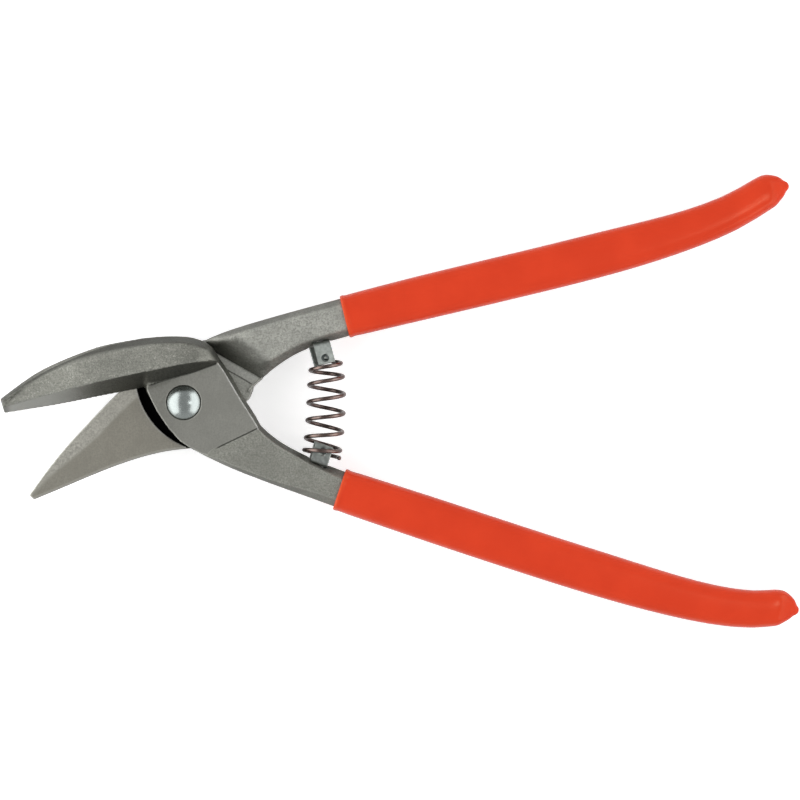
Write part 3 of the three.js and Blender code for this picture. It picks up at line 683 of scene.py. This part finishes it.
BOLT_RADIUS = 4.0
THREAD_PITCH = 1.25
THREAD_DEPTH = 0.65
THREAD_END = 6.2  # height of the last turn
THREAD_ROWS = 14  # rows of points in one turn
END_CHAMFER = 0.9
HEAD_UNDERSIDE = -0.7  # heights of the head's rim, from the lap's face
RIM_BOTTOM = -0.58
RIM_TOP = -0.15
NUT_BORE = 4.12
WASHER_BORE = 4.2
WASHER_GAP = 0.09  # half of the gap between the washer's ends, as an angle
WASHER_ROUNDING = 0.22
COLUMNS = 144  # points round the bolt and the nut


def bolt_rows():
    """Heights of the bolt's rows, and its radius there without the thread, from its end to its dome."""
    low, high = box_of("pivot_bolt")
    head_radius = (high[0] - low[0]) / 2.0
    face = SHEAR_Z + FRONT_LAP_TOP
    dome = high[2] - face
    sphere = (head_radius**2 + dome**2) / (2 * dome)
    thread_z = np.arange(0.0, THREAD_END, THREAD_PITCH / THREAD_ROWS)
    shank_z = np.array([THREAD_END + 0.1, face + HEAD_UNDERSIDE - 0.05])
    rim_r = np.array([BOLT_RADIUS + 0.05, head_radius - 0.12, head_radius, head_radius])
    rim_z = face + np.array([HEAD_UNDERSIDE, HEAD_UNDERSIDE, RIM_BOTTOM, RIM_TOP])
    dome_r = head_radius * np.cos(np.linspace(0.0, math.pi / 2, 24))
    dome_z = face + dome - sphere + np.sqrt(sphere**2 - dome_r**2)
    z = np.concatenate([thread_z, shank_z, rim_z, dome_z])
    plain = np.full(len(thread_z) + len(shank_z), BOLT_RADIUS)
    return z, np.concatenate([plain, rim_r, np.maximum(dome_r, 0.01)])


def pivot_bolt():
    """Domed head, plain shank, and a thread that shows past the nut."""
    z, plain = bolt_rows()
    angles = np.linspace(0, 2 * np.pi, COLUMNS, endpoint=False)
    heights = z[:, None]
    phase = (heights / THREAD_PITCH - angles / (2 * np.pi)) % 1.0
    groove = THREAD_DEPTH * np.abs(2 * phase - 1)
    fading = smoothstep(THREAD_END - 0.1, THREAD_END - 0.6, heights)
    body = plain[:, None] - groove * fading
    chamfered = BOLT_RADIUS - np.clip(END_CHAMFER - heights, 0.0, END_CHAMFER)
    r = np.where(heights < THREAD_END + 0.2, np.minimum(body, chamfered), body)
    upright = np.repeat(heights, COLUMNS, 1)
    grid = np.stack([r * np.cos(angles), r * np.sin(angles), upright], axis=-1)
    return settled(sheet("pivot_bolt_detail", grid), FRONT, "pivot_bolt")


def pivot_nut():
    """A hexagon nut, its corners turned off at both faces, with a chamfered hole."""
    low, high = box_of("pivot_nut")
    flats = min(high[0] - low[0], high[1] - low[1]) / 2.0
    angles = np.linspace(0, 2 * np.pi, COLUMNS, endpoint=False)
    phase = (angles + np.pi / 6 + np.pi / 2) % (np.pi / 3) - np.pi / 6
    hexagon = flats / np.cos(phase)
    heights = np.linspace(low[2], high[2], 22)
    rows = []
    for z in heights:
        from_face = min(z - low[2], high[2] - z)
        cone = flats - 0.15 + 1.9 * from_face if from_face < 0.9 else np.inf
        rows.append((np.minimum(hexagon, cone), z))
    for z in heights[::-1]:
        from_face = min(z - low[2], high[2] - z)
        rows.append((np.full(COLUMNS, NUT_BORE + max(0.6 - from_face, 0.0)), z))
    grid = np.array([
        np.column_stack([r * np.cos(angles), r * np.sin(angles), np.full(COLUMNS, z)])
        for r, z in rows
    ])
    obj = sheet("pivot_nut_detail", grid, closed_rows=True)
    return settled(obj, FRONT, "pivot_nut")


def washer_section():
    """The washer's bar cut across: radius and height of a rectangle with rounded corners."""
    low, high = box_of("pivot_washer")
    outer = (high[1] - low[1]) / 2.0
    middle_r, middle_z = (outer + WASHER_BORE) / 2, (low[2] + high[2]) / 2
    half_r, half_z = (outer - WASHER_BORE) / 2, (high[2] - low[2]) / 2 - 0.03
    section = []
    for (side_r, side_z), start in (((1, -1), -90), ((1, 1), 0), ((-1, 1), 90), ((-1, -1), 180)):
        for degrees in (start, start + 45, start + 90):
            a = math.radians(degrees)
            section.append((
                middle_r + side_r * (half_r - WASHER_ROUNDING) + WASHER_ROUNDING * math.cos(a),
                middle_z + side_z * (half_z - WASHER_ROUNDING) + WASHER_ROUNDING * math.sin(a),
            ))
    return np.array(section)


def pivot_washer():
    """A split spring washer: a flat bar bent round, with a narrow gap between its ends."""
    r, z = washer_section().T
    angles = np.linspace(WASHER_GAP, 2 * np.pi - WASHER_GAP, 120)
    grid = np.array([np.column_stack([r * math.cos(a), r * math.sin(a), z]) for a in angles])
    return settled(sheet("pivot_washer_detail", grid), FRONT, "pivot_washer")


# ---- Spring seats ----------------------------------------------------------------------------

SEAT_VOXEL = 0.17
RING_RADIUS = 0.85
RING_DEPTH = 0.35


def spring_seat(node, lever, name, lean, barb, barb_shift):
    """A bent strip of sheet steel. lean moves its free end; a ring is pressed into its barb."""
    fine = voxel_mesh(mesh_from(welded(node), name), SEAT_VOXEL)
    points = relax(points_of(fine), edges_of(fine), 6)
    low, high = box_of(node)
    from_barb = np.hypot(*(points[:, :2] - barb).T)
    points[:, :2] += smoothstep(2.6, 1.4, from_barb)[:, None] * barb_shift
    from_barb = np.hypot(*(points[:, :2] - barb - barb_shift).T)
    on_face = smoothstep(high[2] - 1.2, high[2] - 0.8, points[:, 2])
    pit = on_face * smoothstep(0.55, 0.3, np.abs(from_barb - RING_RADIUS))
    points[:, 2] -= RING_DEPTH * pit
    reach = (points[:, 1] - low[1]) / (high[1] - low[1])
    reach = reach if lever == FRONT else 1.0 - reach
    points[:, :2] += reach[:, None] * lean
    set_points(fine, points)
    obj = new_object(name, fine)
    # the pressed ring, where shade is painted
    attribute(obj, "pit", pit)
    return settled(obj, lever, node)


# ---- Materials -------------------------------------------------------------------------------

# Colours of steel, as it reflects, and of the light and shade painted on it
# painted light on the wall under the ledge near the tip; also the rear lap's lighter strip
LIGHTER_STEEL = (0.50, 0.50, 0.475)
# painted shade on steep faces, under the ledge, along the blade's back, in the lap's corner and in the
# hollow; it also darkens the blade's tip and middle
PAINTED_SHADE = (0.24, 0.24, 0.23)  # multiplies what it covers
# rubbed edges, partly wear and partly painted highlight, and the painted highlight lines
RUBBED_AND_HIGHLIGHT_STEEL = (0.6, 0.6, 0.58)
BURR = (0.62, 0.61, 0.56)
# painted shade in concave corners
CORNER_SHADE = (0.02, 0.02, 0.018)
# painted shade along the milled step lines
STEP_SHADE = (0.015, 0.015, 0.013)
# painted shade on the pocket's floor
POCKET_SHADE = (0.006, 0.006, 0.006)


class Paint:
    """A node material in the making. Values and sockets can be mixed freely as inputs."""

    def __init__(self, name):
        self.material = bpy.data.materials.new(name)
        self.material.use_nodes = True
        self.tree = self.material.node_tree
        self.tree.nodes.clear()
        self.surface = self.node("ShaderNodeBsdfPrincipled")
        output = self.node("ShaderNodeOutputMaterial")
        self.tree.links.new(self.surface.outputs["BSDF"], output.inputs["Surface"])

    def node(self, kind, **settings):
        n = self.tree.nodes.new(kind)
        for key, value in settings.items():
            setattr(n, key, value)
        return n

    def feed(self, target, value):
        """Links a socket to an input, or sets the input to a value."""
        if isinstance(value, bpy.types.NodeSocket):
            self.tree.links.new(value, target)
        elif isinstance(value, (tuple, list)) and len(value) == 3 and target.type == "RGBA":
            target.default_value = (*value, 1.0)
        else:
            target.default_value = value

    def set(self, **inputs):
        """Feeds inputs of the surface, named with _ for a space."""
        for key, value in inputs.items():
            self.feed(self.surface.inputs[key.replace("_", " ")], value)

    def attribute(self, name):
        """A number stored on the object's points."""
        return self.node("ShaderNodeAttribute", attribute_name=name).outputs["Fac"]

    def place(self, stretch=(1.0, 1.0, 1.0), turn=0.0):
        """The object's own coordinates in millimetres, stretched and turned about Z."""
        mapping = self.node("ShaderNodeMapping")
        mapping.inputs["Scale"].default_value = tuple(s / MM for s in stretch)
        mapping.inputs["Rotation"].default_value = (0.0, 0.0, turn)
        source = self.node("ShaderNodeTexCoord").outputs["Object"]
        self.tree.links.new(source, mapping.inputs["Vector"])
        return mapping.outputs["Vector"]

    def noise(self, size, detail=2.0, roughness=0.5, place=None):
        """Cloudy noise whose patches are about this many millimetres across."""
        n = self.node("ShaderNodeTexNoise")
        self.tree.links.new(place or self.place(), n.inputs["Vector"])
        n.inputs["Scale"].default_value = 1.0 / size
        n.inputs["Detail"].default_value = detail
        n.inputs["Roughness"].default_value = roughness
        return n.outputs["Fac"]

    def drawn_noise(self, x, y, scale, detail):
        """Noise in coordinates of its own, for marks that follow a wire or rings."""
        combine = self.node("ShaderNodeCombineXYZ")
        self.feed(combine.inputs[0], x)
        self.feed(combine.inputs[1], y)
        n = self.node("ShaderNodeTexNoise")
        self.feed(n.inputs["Vector"], combine.outputs[0])
        n.inputs["Scale"].default_value = scale
        n.inputs["Detail"].default_value = detail
        return n.outputs["Fac"]

    def ramp(self, value, from_low, from_high, to_low=0.0, to_high=1.0):
        """A smooth change between two values of a socket."""
        n = self.node("ShaderNodeMapRange", interpolation_type="SMOOTHSTEP")
        names = ("Value", "From Min", "From Max", "To Min", "To Max")
        for key, v in zip(names, (value, from_low, from_high, to_low, to_high)):
            self.feed(n.inputs[key], v)
        return n.outputs["Result"]

    def math(self, operation, a, b=0.0, clamp=False):
        n = self.node("ShaderNodeMath", operation=operation, use_clamp=clamp)
        self.feed(n.inputs[0], a)
        self.feed(n.inputs[1], b)
        return n.outputs["Value"]

    def mix(self, share, a, b, blend="MIX"):
        """Colours a and b mixed."""
        n = self.node("ShaderNodeMix", data_type="RGBA", blend_type=blend)
        self.feed(n.inputs[0], share)
        self.feed(n.inputs[6], a)
        self.feed(n.inputs[7], b)
        return n.outputs[2]

    def bump(self, height, depth, below=None):
        """A relief of this depth in millimetres, on top of another one if it is given."""
        n = self.node("ShaderNodeBump")
        n.inputs["Distance"].default_value = depth * MM
        n.inputs["Strength"].default_value = 1.0
        self.feed(n.inputs["Height"], height)
        if below is not None:
            self.tree.links.new(below, n.inputs["Normal"])
        return n.outputs["Normal"]

    def cover(self, obj):
        """Makes this the object's only material."""
        obj.data.materials.clear()
        obj.data.materials.append(self.material)


def scaled(colour, factor):
    return tuple(factor * c for c in colour)


def blasted_skin(p, tint, speckle, cloud, streak):
    """Fine light and dark grains, with brighter flecks where the frost mark is high."""
    colour = p.mix(p.ramp(speckle, 0.34, 0.66), scaled(tint, 0.76), scaled(tint, 1.26))
    grit = p.noise(0.5, detail=3.0, roughness=0.7)
    flecks = p.ramp(p.math("ADD", grit, p.math("MULTIPLY", streak, 0.4)), 0.68, 0.92)
    frosty = p.math("MULTIPLY", p.math("MULTIPLY", flecks, p.attribute("frost")), 0.6)
    colour = p.mix(frosty, colour, scaled(tint, 2.1))
    return p.mix(p.ramp(cloud, 0.35, 0.7, 0.0, 0.30), colour, scaled(tint, 0.6))


def ground_face(p, tint, speckle, cloud):
    """Even, with faint grinding marks and stains."""
    grain = p.noise(1.0, detail=3.0, place=p.place((2.4, 0.3, 1.0), turn=math.radians(6)))
    face = p.mix(p.ramp(grain, 0.3, 0.7), scaled(tint, 0.95), scaled(tint, 1.05))
    face = p.mix(p.ramp(speckle, 0.36, 0.66, 0.0, 0.8), face, scaled(tint, 0.74))
    return p.mix(p.ramp(cloud, 0.4, 0.7, 0.0, 0.5), face, scaled(tint, 0.78))


def edge_wear(p, colour, speckle, streak):
    """Rubbed edges, lighter partly from wear and partly as painted highlight; painted shade in concave
    corners and along the milled step lines; a painted highlight line by the lap and by the pocket's rim; and
    the blade's burr.
    """
    edge = p.attribute("edge")
    ragged = p.math("MULTIPLY", p.math("SUBTRACT", speckle, 0.5), 0.2)
    # rubbed edges are lighter, partly as wear and partly as painted highlight
    rubbed = p.ramp(p.math("ADD", edge, ragged), 0.06, 0.26)
    colour = p.mix(p.math("MULTIPLY", rubbed, 0.12), colour, RUBBED_AND_HIGHLIGHT_STEEL)
    # painted shade in concave corners
    colour = p.mix(p.ramp(edge, -0.22, -0.05, 0.75, 0.0), colour, CORNER_SHADE)
    # painted shade along the milled step lines
    colour = p.mix(p.ramp(p.attribute("step_line"), 0.10, 0.40, 0.8, 0.0), colour, STEP_SHADE)
    # painted highlight line
    on_line = p.math("MULTIPLY", p.ramp(p.attribute("highlight_line"), 0.10, 0.36), -1.0)
    on_line = p.math("ADD", on_line, 1.0)
    bright = p.math("MULTIPLY", on_line, p.ramp(streak, 0.3, 0.65, 0.2, 0.75))
    colour = p.mix(bright, colour, RUBBED_AND_HIGHLIGHT_STEEL)
    return p.mix(p.ramp(p.attribute("bottom_line"), 0.12, 0.45, 0.35, 0.0), colour, BURR)


def paint_forging(obj, tint, ground_tint, band_tint):
    """Shot-blasted forging with ground faces, painted shade on its flanks, in its corners and hollows and
    along the milled step lines, painted light and highlights, and rubbed edges.
    """
    p = Paint(obj.name + "_steel")
    ground = p.attribute("ground")
    pocket_shade = p.attribute("pocket_shade")
    cloud = p.noise(8.0, detail=4.0)
    speckle = p.noise(0.65, detail=4.0, roughness=0.7)
    slant = p.place((0.6, 1.5, 1.0), turn=math.radians(-12))
    streak = p.noise(2.6, detail=3.0, roughness=0.6, place=slant)
    skin = blasted_skin(p, tint, speckle, cloud, streak)
    colour = p.mix(ground, skin, ground_face(p, ground_tint, speckle, cloud))
    band = p.mix(p.ramp(speckle, 0.34, 0.66), scaled(band_tint, 0.84), scaled(band_tint, 1.24))
    colour = p.mix(p.ramp(p.attribute("band"), -0.7, 0.7, 0.0, 0.8), colour, band)
    # painted light on the wall under the ledge, and the lighter strip
    colour = p.mix(p.attribute("lift"), colour, LIGHTER_STEEL)
    # painted shade where the wall mark is high, with the blade's darker tip and middle
    colour = p.mix(p.attribute("wall"), colour, PAINTED_SHADE, blend="MULTIPLY")
    colour = edge_wear(p, colour, speckle, streak)
    # painted shade on the pocket's floor
    colour = p.mix(pocket_shade, colour, POCKET_SHADE)
    rough = p.ramp(speckle, 0.2, 0.8, 0.42, 0.6)
    rough = p.math("SUBTRACT", rough, p.math("MULTIPLY", ground, 0.08))
    rough = p.math("ADD", rough, p.math("MULTIPLY", pocket_shade, 0.4), clamp=True)
    grains = p.math("MULTIPLY", speckle, p.ramp(ground, 0.0, 1.0, 1.0, 0.3))
    relief = p.bump(cloud, 0.15, below=p.bump(grains, 0.16))
    p.set(Base_Color=colour, Metallic=1.0, Roughness=rough, Normal=relief)
    p.cover(obj)


def paint_vinyl(obj):
    """Glossy dipped vinyl: smooth, faintly wavy, lighter at the lip and duller at the nose."""
    p = Paint(obj.name + "_vinyl")
    cloud = p.noise(14.0, detail=3.0)
    fine = p.noise(1.6, detail=2.0)
    lip = p.ramp(p.attribute("from_mouth"), 0.2, 1.6, 1.0, 0.0)
    colour = p.mix(p.ramp(cloud, 0.3, 0.7), (0.69, 0.050, 0.017), (0.64, 0.044, 0.015))
    colour = p.mix(p.math("MULTIPLY", lip, 0.35), colour, (0.80, 0.12, 0.04))
    gloss = p.ramp(p.attribute("nose"), 0.0, 1.0, 0.4, 0.12)
    p.set(Base_Color=colour, Roughness=p.ramp(fine, 0.3, 0.7, 0.17, 0.23), Normal=p.bump(p.noise(9.0), 0.06))
    p.set(Specular_IOR_Level=gloss, Specular_Tint=(1.0, 0.66, 0.42))
    p.cover(obj)


def paint_spring(obj):
    """Oil-tempered wire: brown skin with drawing marks along it, rubbed coppery where it shines, and painted
    shade on the coil's inner side.
    """
    p = Paint("spring_wire_steel")
    lengthwise = p.math("MULTIPLY", p.attribute("along_wire"), 0.12)
    crosswise = p.math("MULTIPLY", p.attribute("around_wire"), 1.3)
    marks = p.drawn_noise(lengthwise, crosswise, scale=3.0, detail=3.0)
    patch = p.noise(2.2, detail=3.0)
    colour = p.mix(p.ramp(patch, 0.35, 0.65), (0.10, 0.064, 0.054), (0.17, 0.115, 0.098))
    colour = p.mix(p.ramp(marks, 0.5, 0.75), colour, (0.36, 0.28, 0.25))
    # painted shade on the inner side of the coil
    colour = p.mix(p.math("MULTIPLY", p.attribute("inside"), 0.6), colour, (0.05, 0.032, 0.026))
    rough = p.ramp(marks, 0.3, 0.7, 0.34, 0.2)
    p.set(Base_Color=colour, Metallic=1.0, Roughness=rough, Normal=p.bump(marks, 0.02))
    p.set(Coat_Weight=0.7, Coat_Roughness=0.12)
    p.cover(obj)


def paint_bright(obj):
    """Polished head with a fine turned grain round its axis."""
    p = Paint("pivot_bolt_steel")
    from_axis = p.node("ShaderNodeVectorMath", operation="LENGTH")
    p.feed(from_axis.inputs[0], p.place((1.0, 1.0, 0.0)))
    rings = p.math("MULTIPLY", from_axis.outputs["Value"], 9.0)
    turned = p.drawn_noise(rings, 0.0, scale=1.0, detail=2.0)
    fleck = p.noise(0.8, detail=3.0)
    colour = p.mix(p.ramp(fleck, 0.35, 0.7), (0.39, 0.43, 0.42), (0.43, 0.47, 0.455))
    colour = p.mix(p.ramp(turned, 0.35, 0.65, 0.0, 0.2), colour, (0.3, 0.32, 0.32))
    rough = p.ramp(fleck, 0.3, 0.7, 0.24, 0.28)
    p.set(Base_Color=colour, Metallic=1.0, Roughness=rough, Normal=p.bump(turned, 0.006))
    p.cover(obj)


def paint_zinc(obj, name, tint):
    """Zinc-plated steel: a bluish skin with soft spangles, darker stains and painted shade in the pressed
    pits.
    """
    p = Paint(name)
    spangle = p.noise(1.3, detail=3.0, roughness=0.6)
    stain = p.noise(3.4, detail=2.0)
    colour = p.mix(p.ramp(spangle, 0.35, 0.7), scaled(tint, 0.85), scaled(tint, 1.15))
    colour = p.mix(p.ramp(stain, 0.45, 0.7, 0.0, 0.35), colour, scaled(tint, 0.5))
    # painted shade in the pressed ring
    colour = p.mix(p.math("MULTIPLY", p.attribute("pit"), 0.75), colour, (0.04, 0.05, 0.05))
    rough = p.ramp(spangle, 0.3, 0.7, 0.30, 0.42)
    p.set(Base_Color=colour, Metallic=1.0, Roughness=rough, Normal=p.bump(spangle, 0.015))
    p.cover(obj)


# ---- Stage -----------------------------------------------------------------------------------

VIEW_SPAN = 273.6  # width of the view, in the plane of the levers
VIEW_CENTRE = (73.9, 0.9)
LENS = 400.0
SENSOR = 36.0
FLOOR_SIZE = 6000.0  # half its width
FLOOR_GAP = 0.3  # how far below the lowest face it lies
GRIP_REACH = 165.0  # where along X the lower grip comes nearest to it
LIGHTS_AIM = Vector((0.06, 0.0, 0.0))  # in metres


def floor():
    """A pale plane just below the bolt's end and both grips, so it leans a little."""
    low, _ = box_of("lower_handle_grip")
    lean = math.atan2(low[2] - 0.2, GRIP_REACH)
    corners = [(-1, -1), (1, -1), (1, 1), (-1, 1)]
    points = [
        (x * FLOOR_SIZE, y * FLOOR_SIZE, x * FLOOR_SIZE * math.tan(lean) - FLOOR_GAP)
        for x, y in corners
    ]
    obj = object_from("floor", points, [(0, 1, 2, 3)])
    p = Paint("floor_paper")
    camera_ray = p.node("ShaderNodeLightPath").outputs["Is Camera Ray"]
    colour = p.mix(camera_ray, (0.78, 0.78, 0.78), (0.88, 0.88, 0.88))
    p.set(Base_Color=colour, Roughness=0.9, Emission_Color=(1.0, 1.0, 1.0))
    p.set(Emission_Strength=p.math("MULTIPLY", camera_ray, 0.5))
    p.cover(obj)


def softbox(name, place, size, power):
    """An area light at a place in metres, aimed at the pivot end of the handles."""
    light = bpy.data.lights.new(name, "AREA")
    light.shape = "RECTANGLE"
    light.size, light.size_y = size
    light.energy = power
    obj = bpy.data.objects.new(name, light)
    bpy.context.scene.collection.objects.link(obj)
    obj.location = place
    obj.rotation_euler = (LIGHTS_AIM - Vector(place)).to_track_quat("-Z", "Y").to_euler()
    obj.visible_camera = False


def world():
    """A light tent: greyest overhead, and pale where the camera looks past the floor."""
    scene_world = bpy.data.worlds.new("studio")
    bpy.context.scene.world = scene_world
    scene_world.use_nodes = True
    tree = scene_world.node_tree
    tree.nodes.clear()
    place = tree.nodes.new("ShaderNodeTexCoord")
    split = tree.nodes.new("ShaderNodeSeparateXYZ")
    tree.links.new(place.outputs["Generated"], split.inputs[0])
    rise = tree.nodes.new("ShaderNodeMapRange")
    rise.interpolation_type = "SMOOTHSTEP"
    rise.inputs["From Min"].default_value = 0.0
    rise.inputs["From Max"].default_value = 0.95
    rise.inputs["To Min"].default_value = 0.75
    rise.inputs["To Max"].default_value = 0.5
    tree.links.new(split.outputs["Z"], rise.inputs["Value"])
    path = tree.nodes.new("ShaderNodeLightPath")
    choose = tree.nodes.new("ShaderNodeMix")
    choose.data_type = "FLOAT"
    tree.links.new(path.outputs["Is Camera Ray"], choose.inputs[0])
    tree.links.new(rise.outputs["Result"], choose.inputs[2])
    choose.inputs[3].default_value = 0.9
    background = tree.nodes.new("ShaderNodeBackground")
    tree.links.new(choose.outputs[0], background.inputs["Strength"])
    output = tree.nodes.new("ShaderNodeOutputWorld")
    tree.links.new(background.outputs[0], output.inputs["Surface"])


def camera():
    """Straight down on the plane of the levers, from far away."""
    data = bpy.data.cameras.new("camera")
    data.lens = LENS
    data.sensor_width = SENSOR
    distance = VIEW_SPAN * LENS / SENSOR
    obj = bpy.data.objects.new("camera", data)
    bpy.context.scene.collection.objects.link(obj)
    obj.location = (VIEW_CENTRE[0] * MM, VIEW_CENTRE[1] * MM, (SHEAR_Z + distance) * MM)
    data.clip_end = 20.0
    bpy.context.scene.camera = obj


# ---- Assembly --------------------------------------------------------------------------------

front = front_forging()
rear = rear_forging()
paint_forging(front, (0.288, 0.290, 0.258), (0.400, 0.400, 0.362), (0.4, 0.4, 0.37))
paint_forging(rear, (0.400, 0.403, 0.367), (0.418, 0.401, 0.344), (0.54, 0.53, 0.475))

paint_vinyl(grip("lower_handle_grip", "upper_blade_lever", FRONT, LOWER_MOUTH, "lower_grip"))
paint_vinyl(grip("upper_handle_grip", "lower_blade_lever", REAR, UPPER_MOUTH, "upper_grip"))

paint_spring(spring())
paint_bright(pivot_bolt())
paint_zinc(pivot_washer(), "washer_zinc", (0.40, 0.42, 0.41))
paint_zinc(pivot_nut(), "nut_zinc", (0.42, 0.44, 0.43))
upper_seat = spring_seat(
    "upper_spring_seat", REAR, "upper_seat", lean=np.array([0.2, 0.0]),
    barb=np.array([47.8, 16.4]), barb_shift=np.array([0.4, -1.1]),
)
lower_seat = spring_seat(
    "lower_spring_seat", FRONT, "lower_seat", lean=np.array([-1.1, -0.5]),
    barb=np.array([48.4, -16.2]), barb_shift=np.array([0.0, 0.0]),
)
paint_zinc(upper_seat, "upper_seat_zinc", (0.32, 0.345, 0.325))
paint_zinc(lower_seat, "lower_seat_zinc", (0.34, 0.365, 0.345))

floor()
softbox("left_window", (-1.05, 0.0, 0.70), (3.2, 1.3), 23.0)
softbox("right_window", (1.20, 0.0, 0.62), (2.8, 1.15), 15.5)
softbox("key", (0.30, 0.0, 0.47), (0.11, 0.11), 0.13)
world()
camera()
bpy.context.scene.view_settings.view_transform = "Standard"
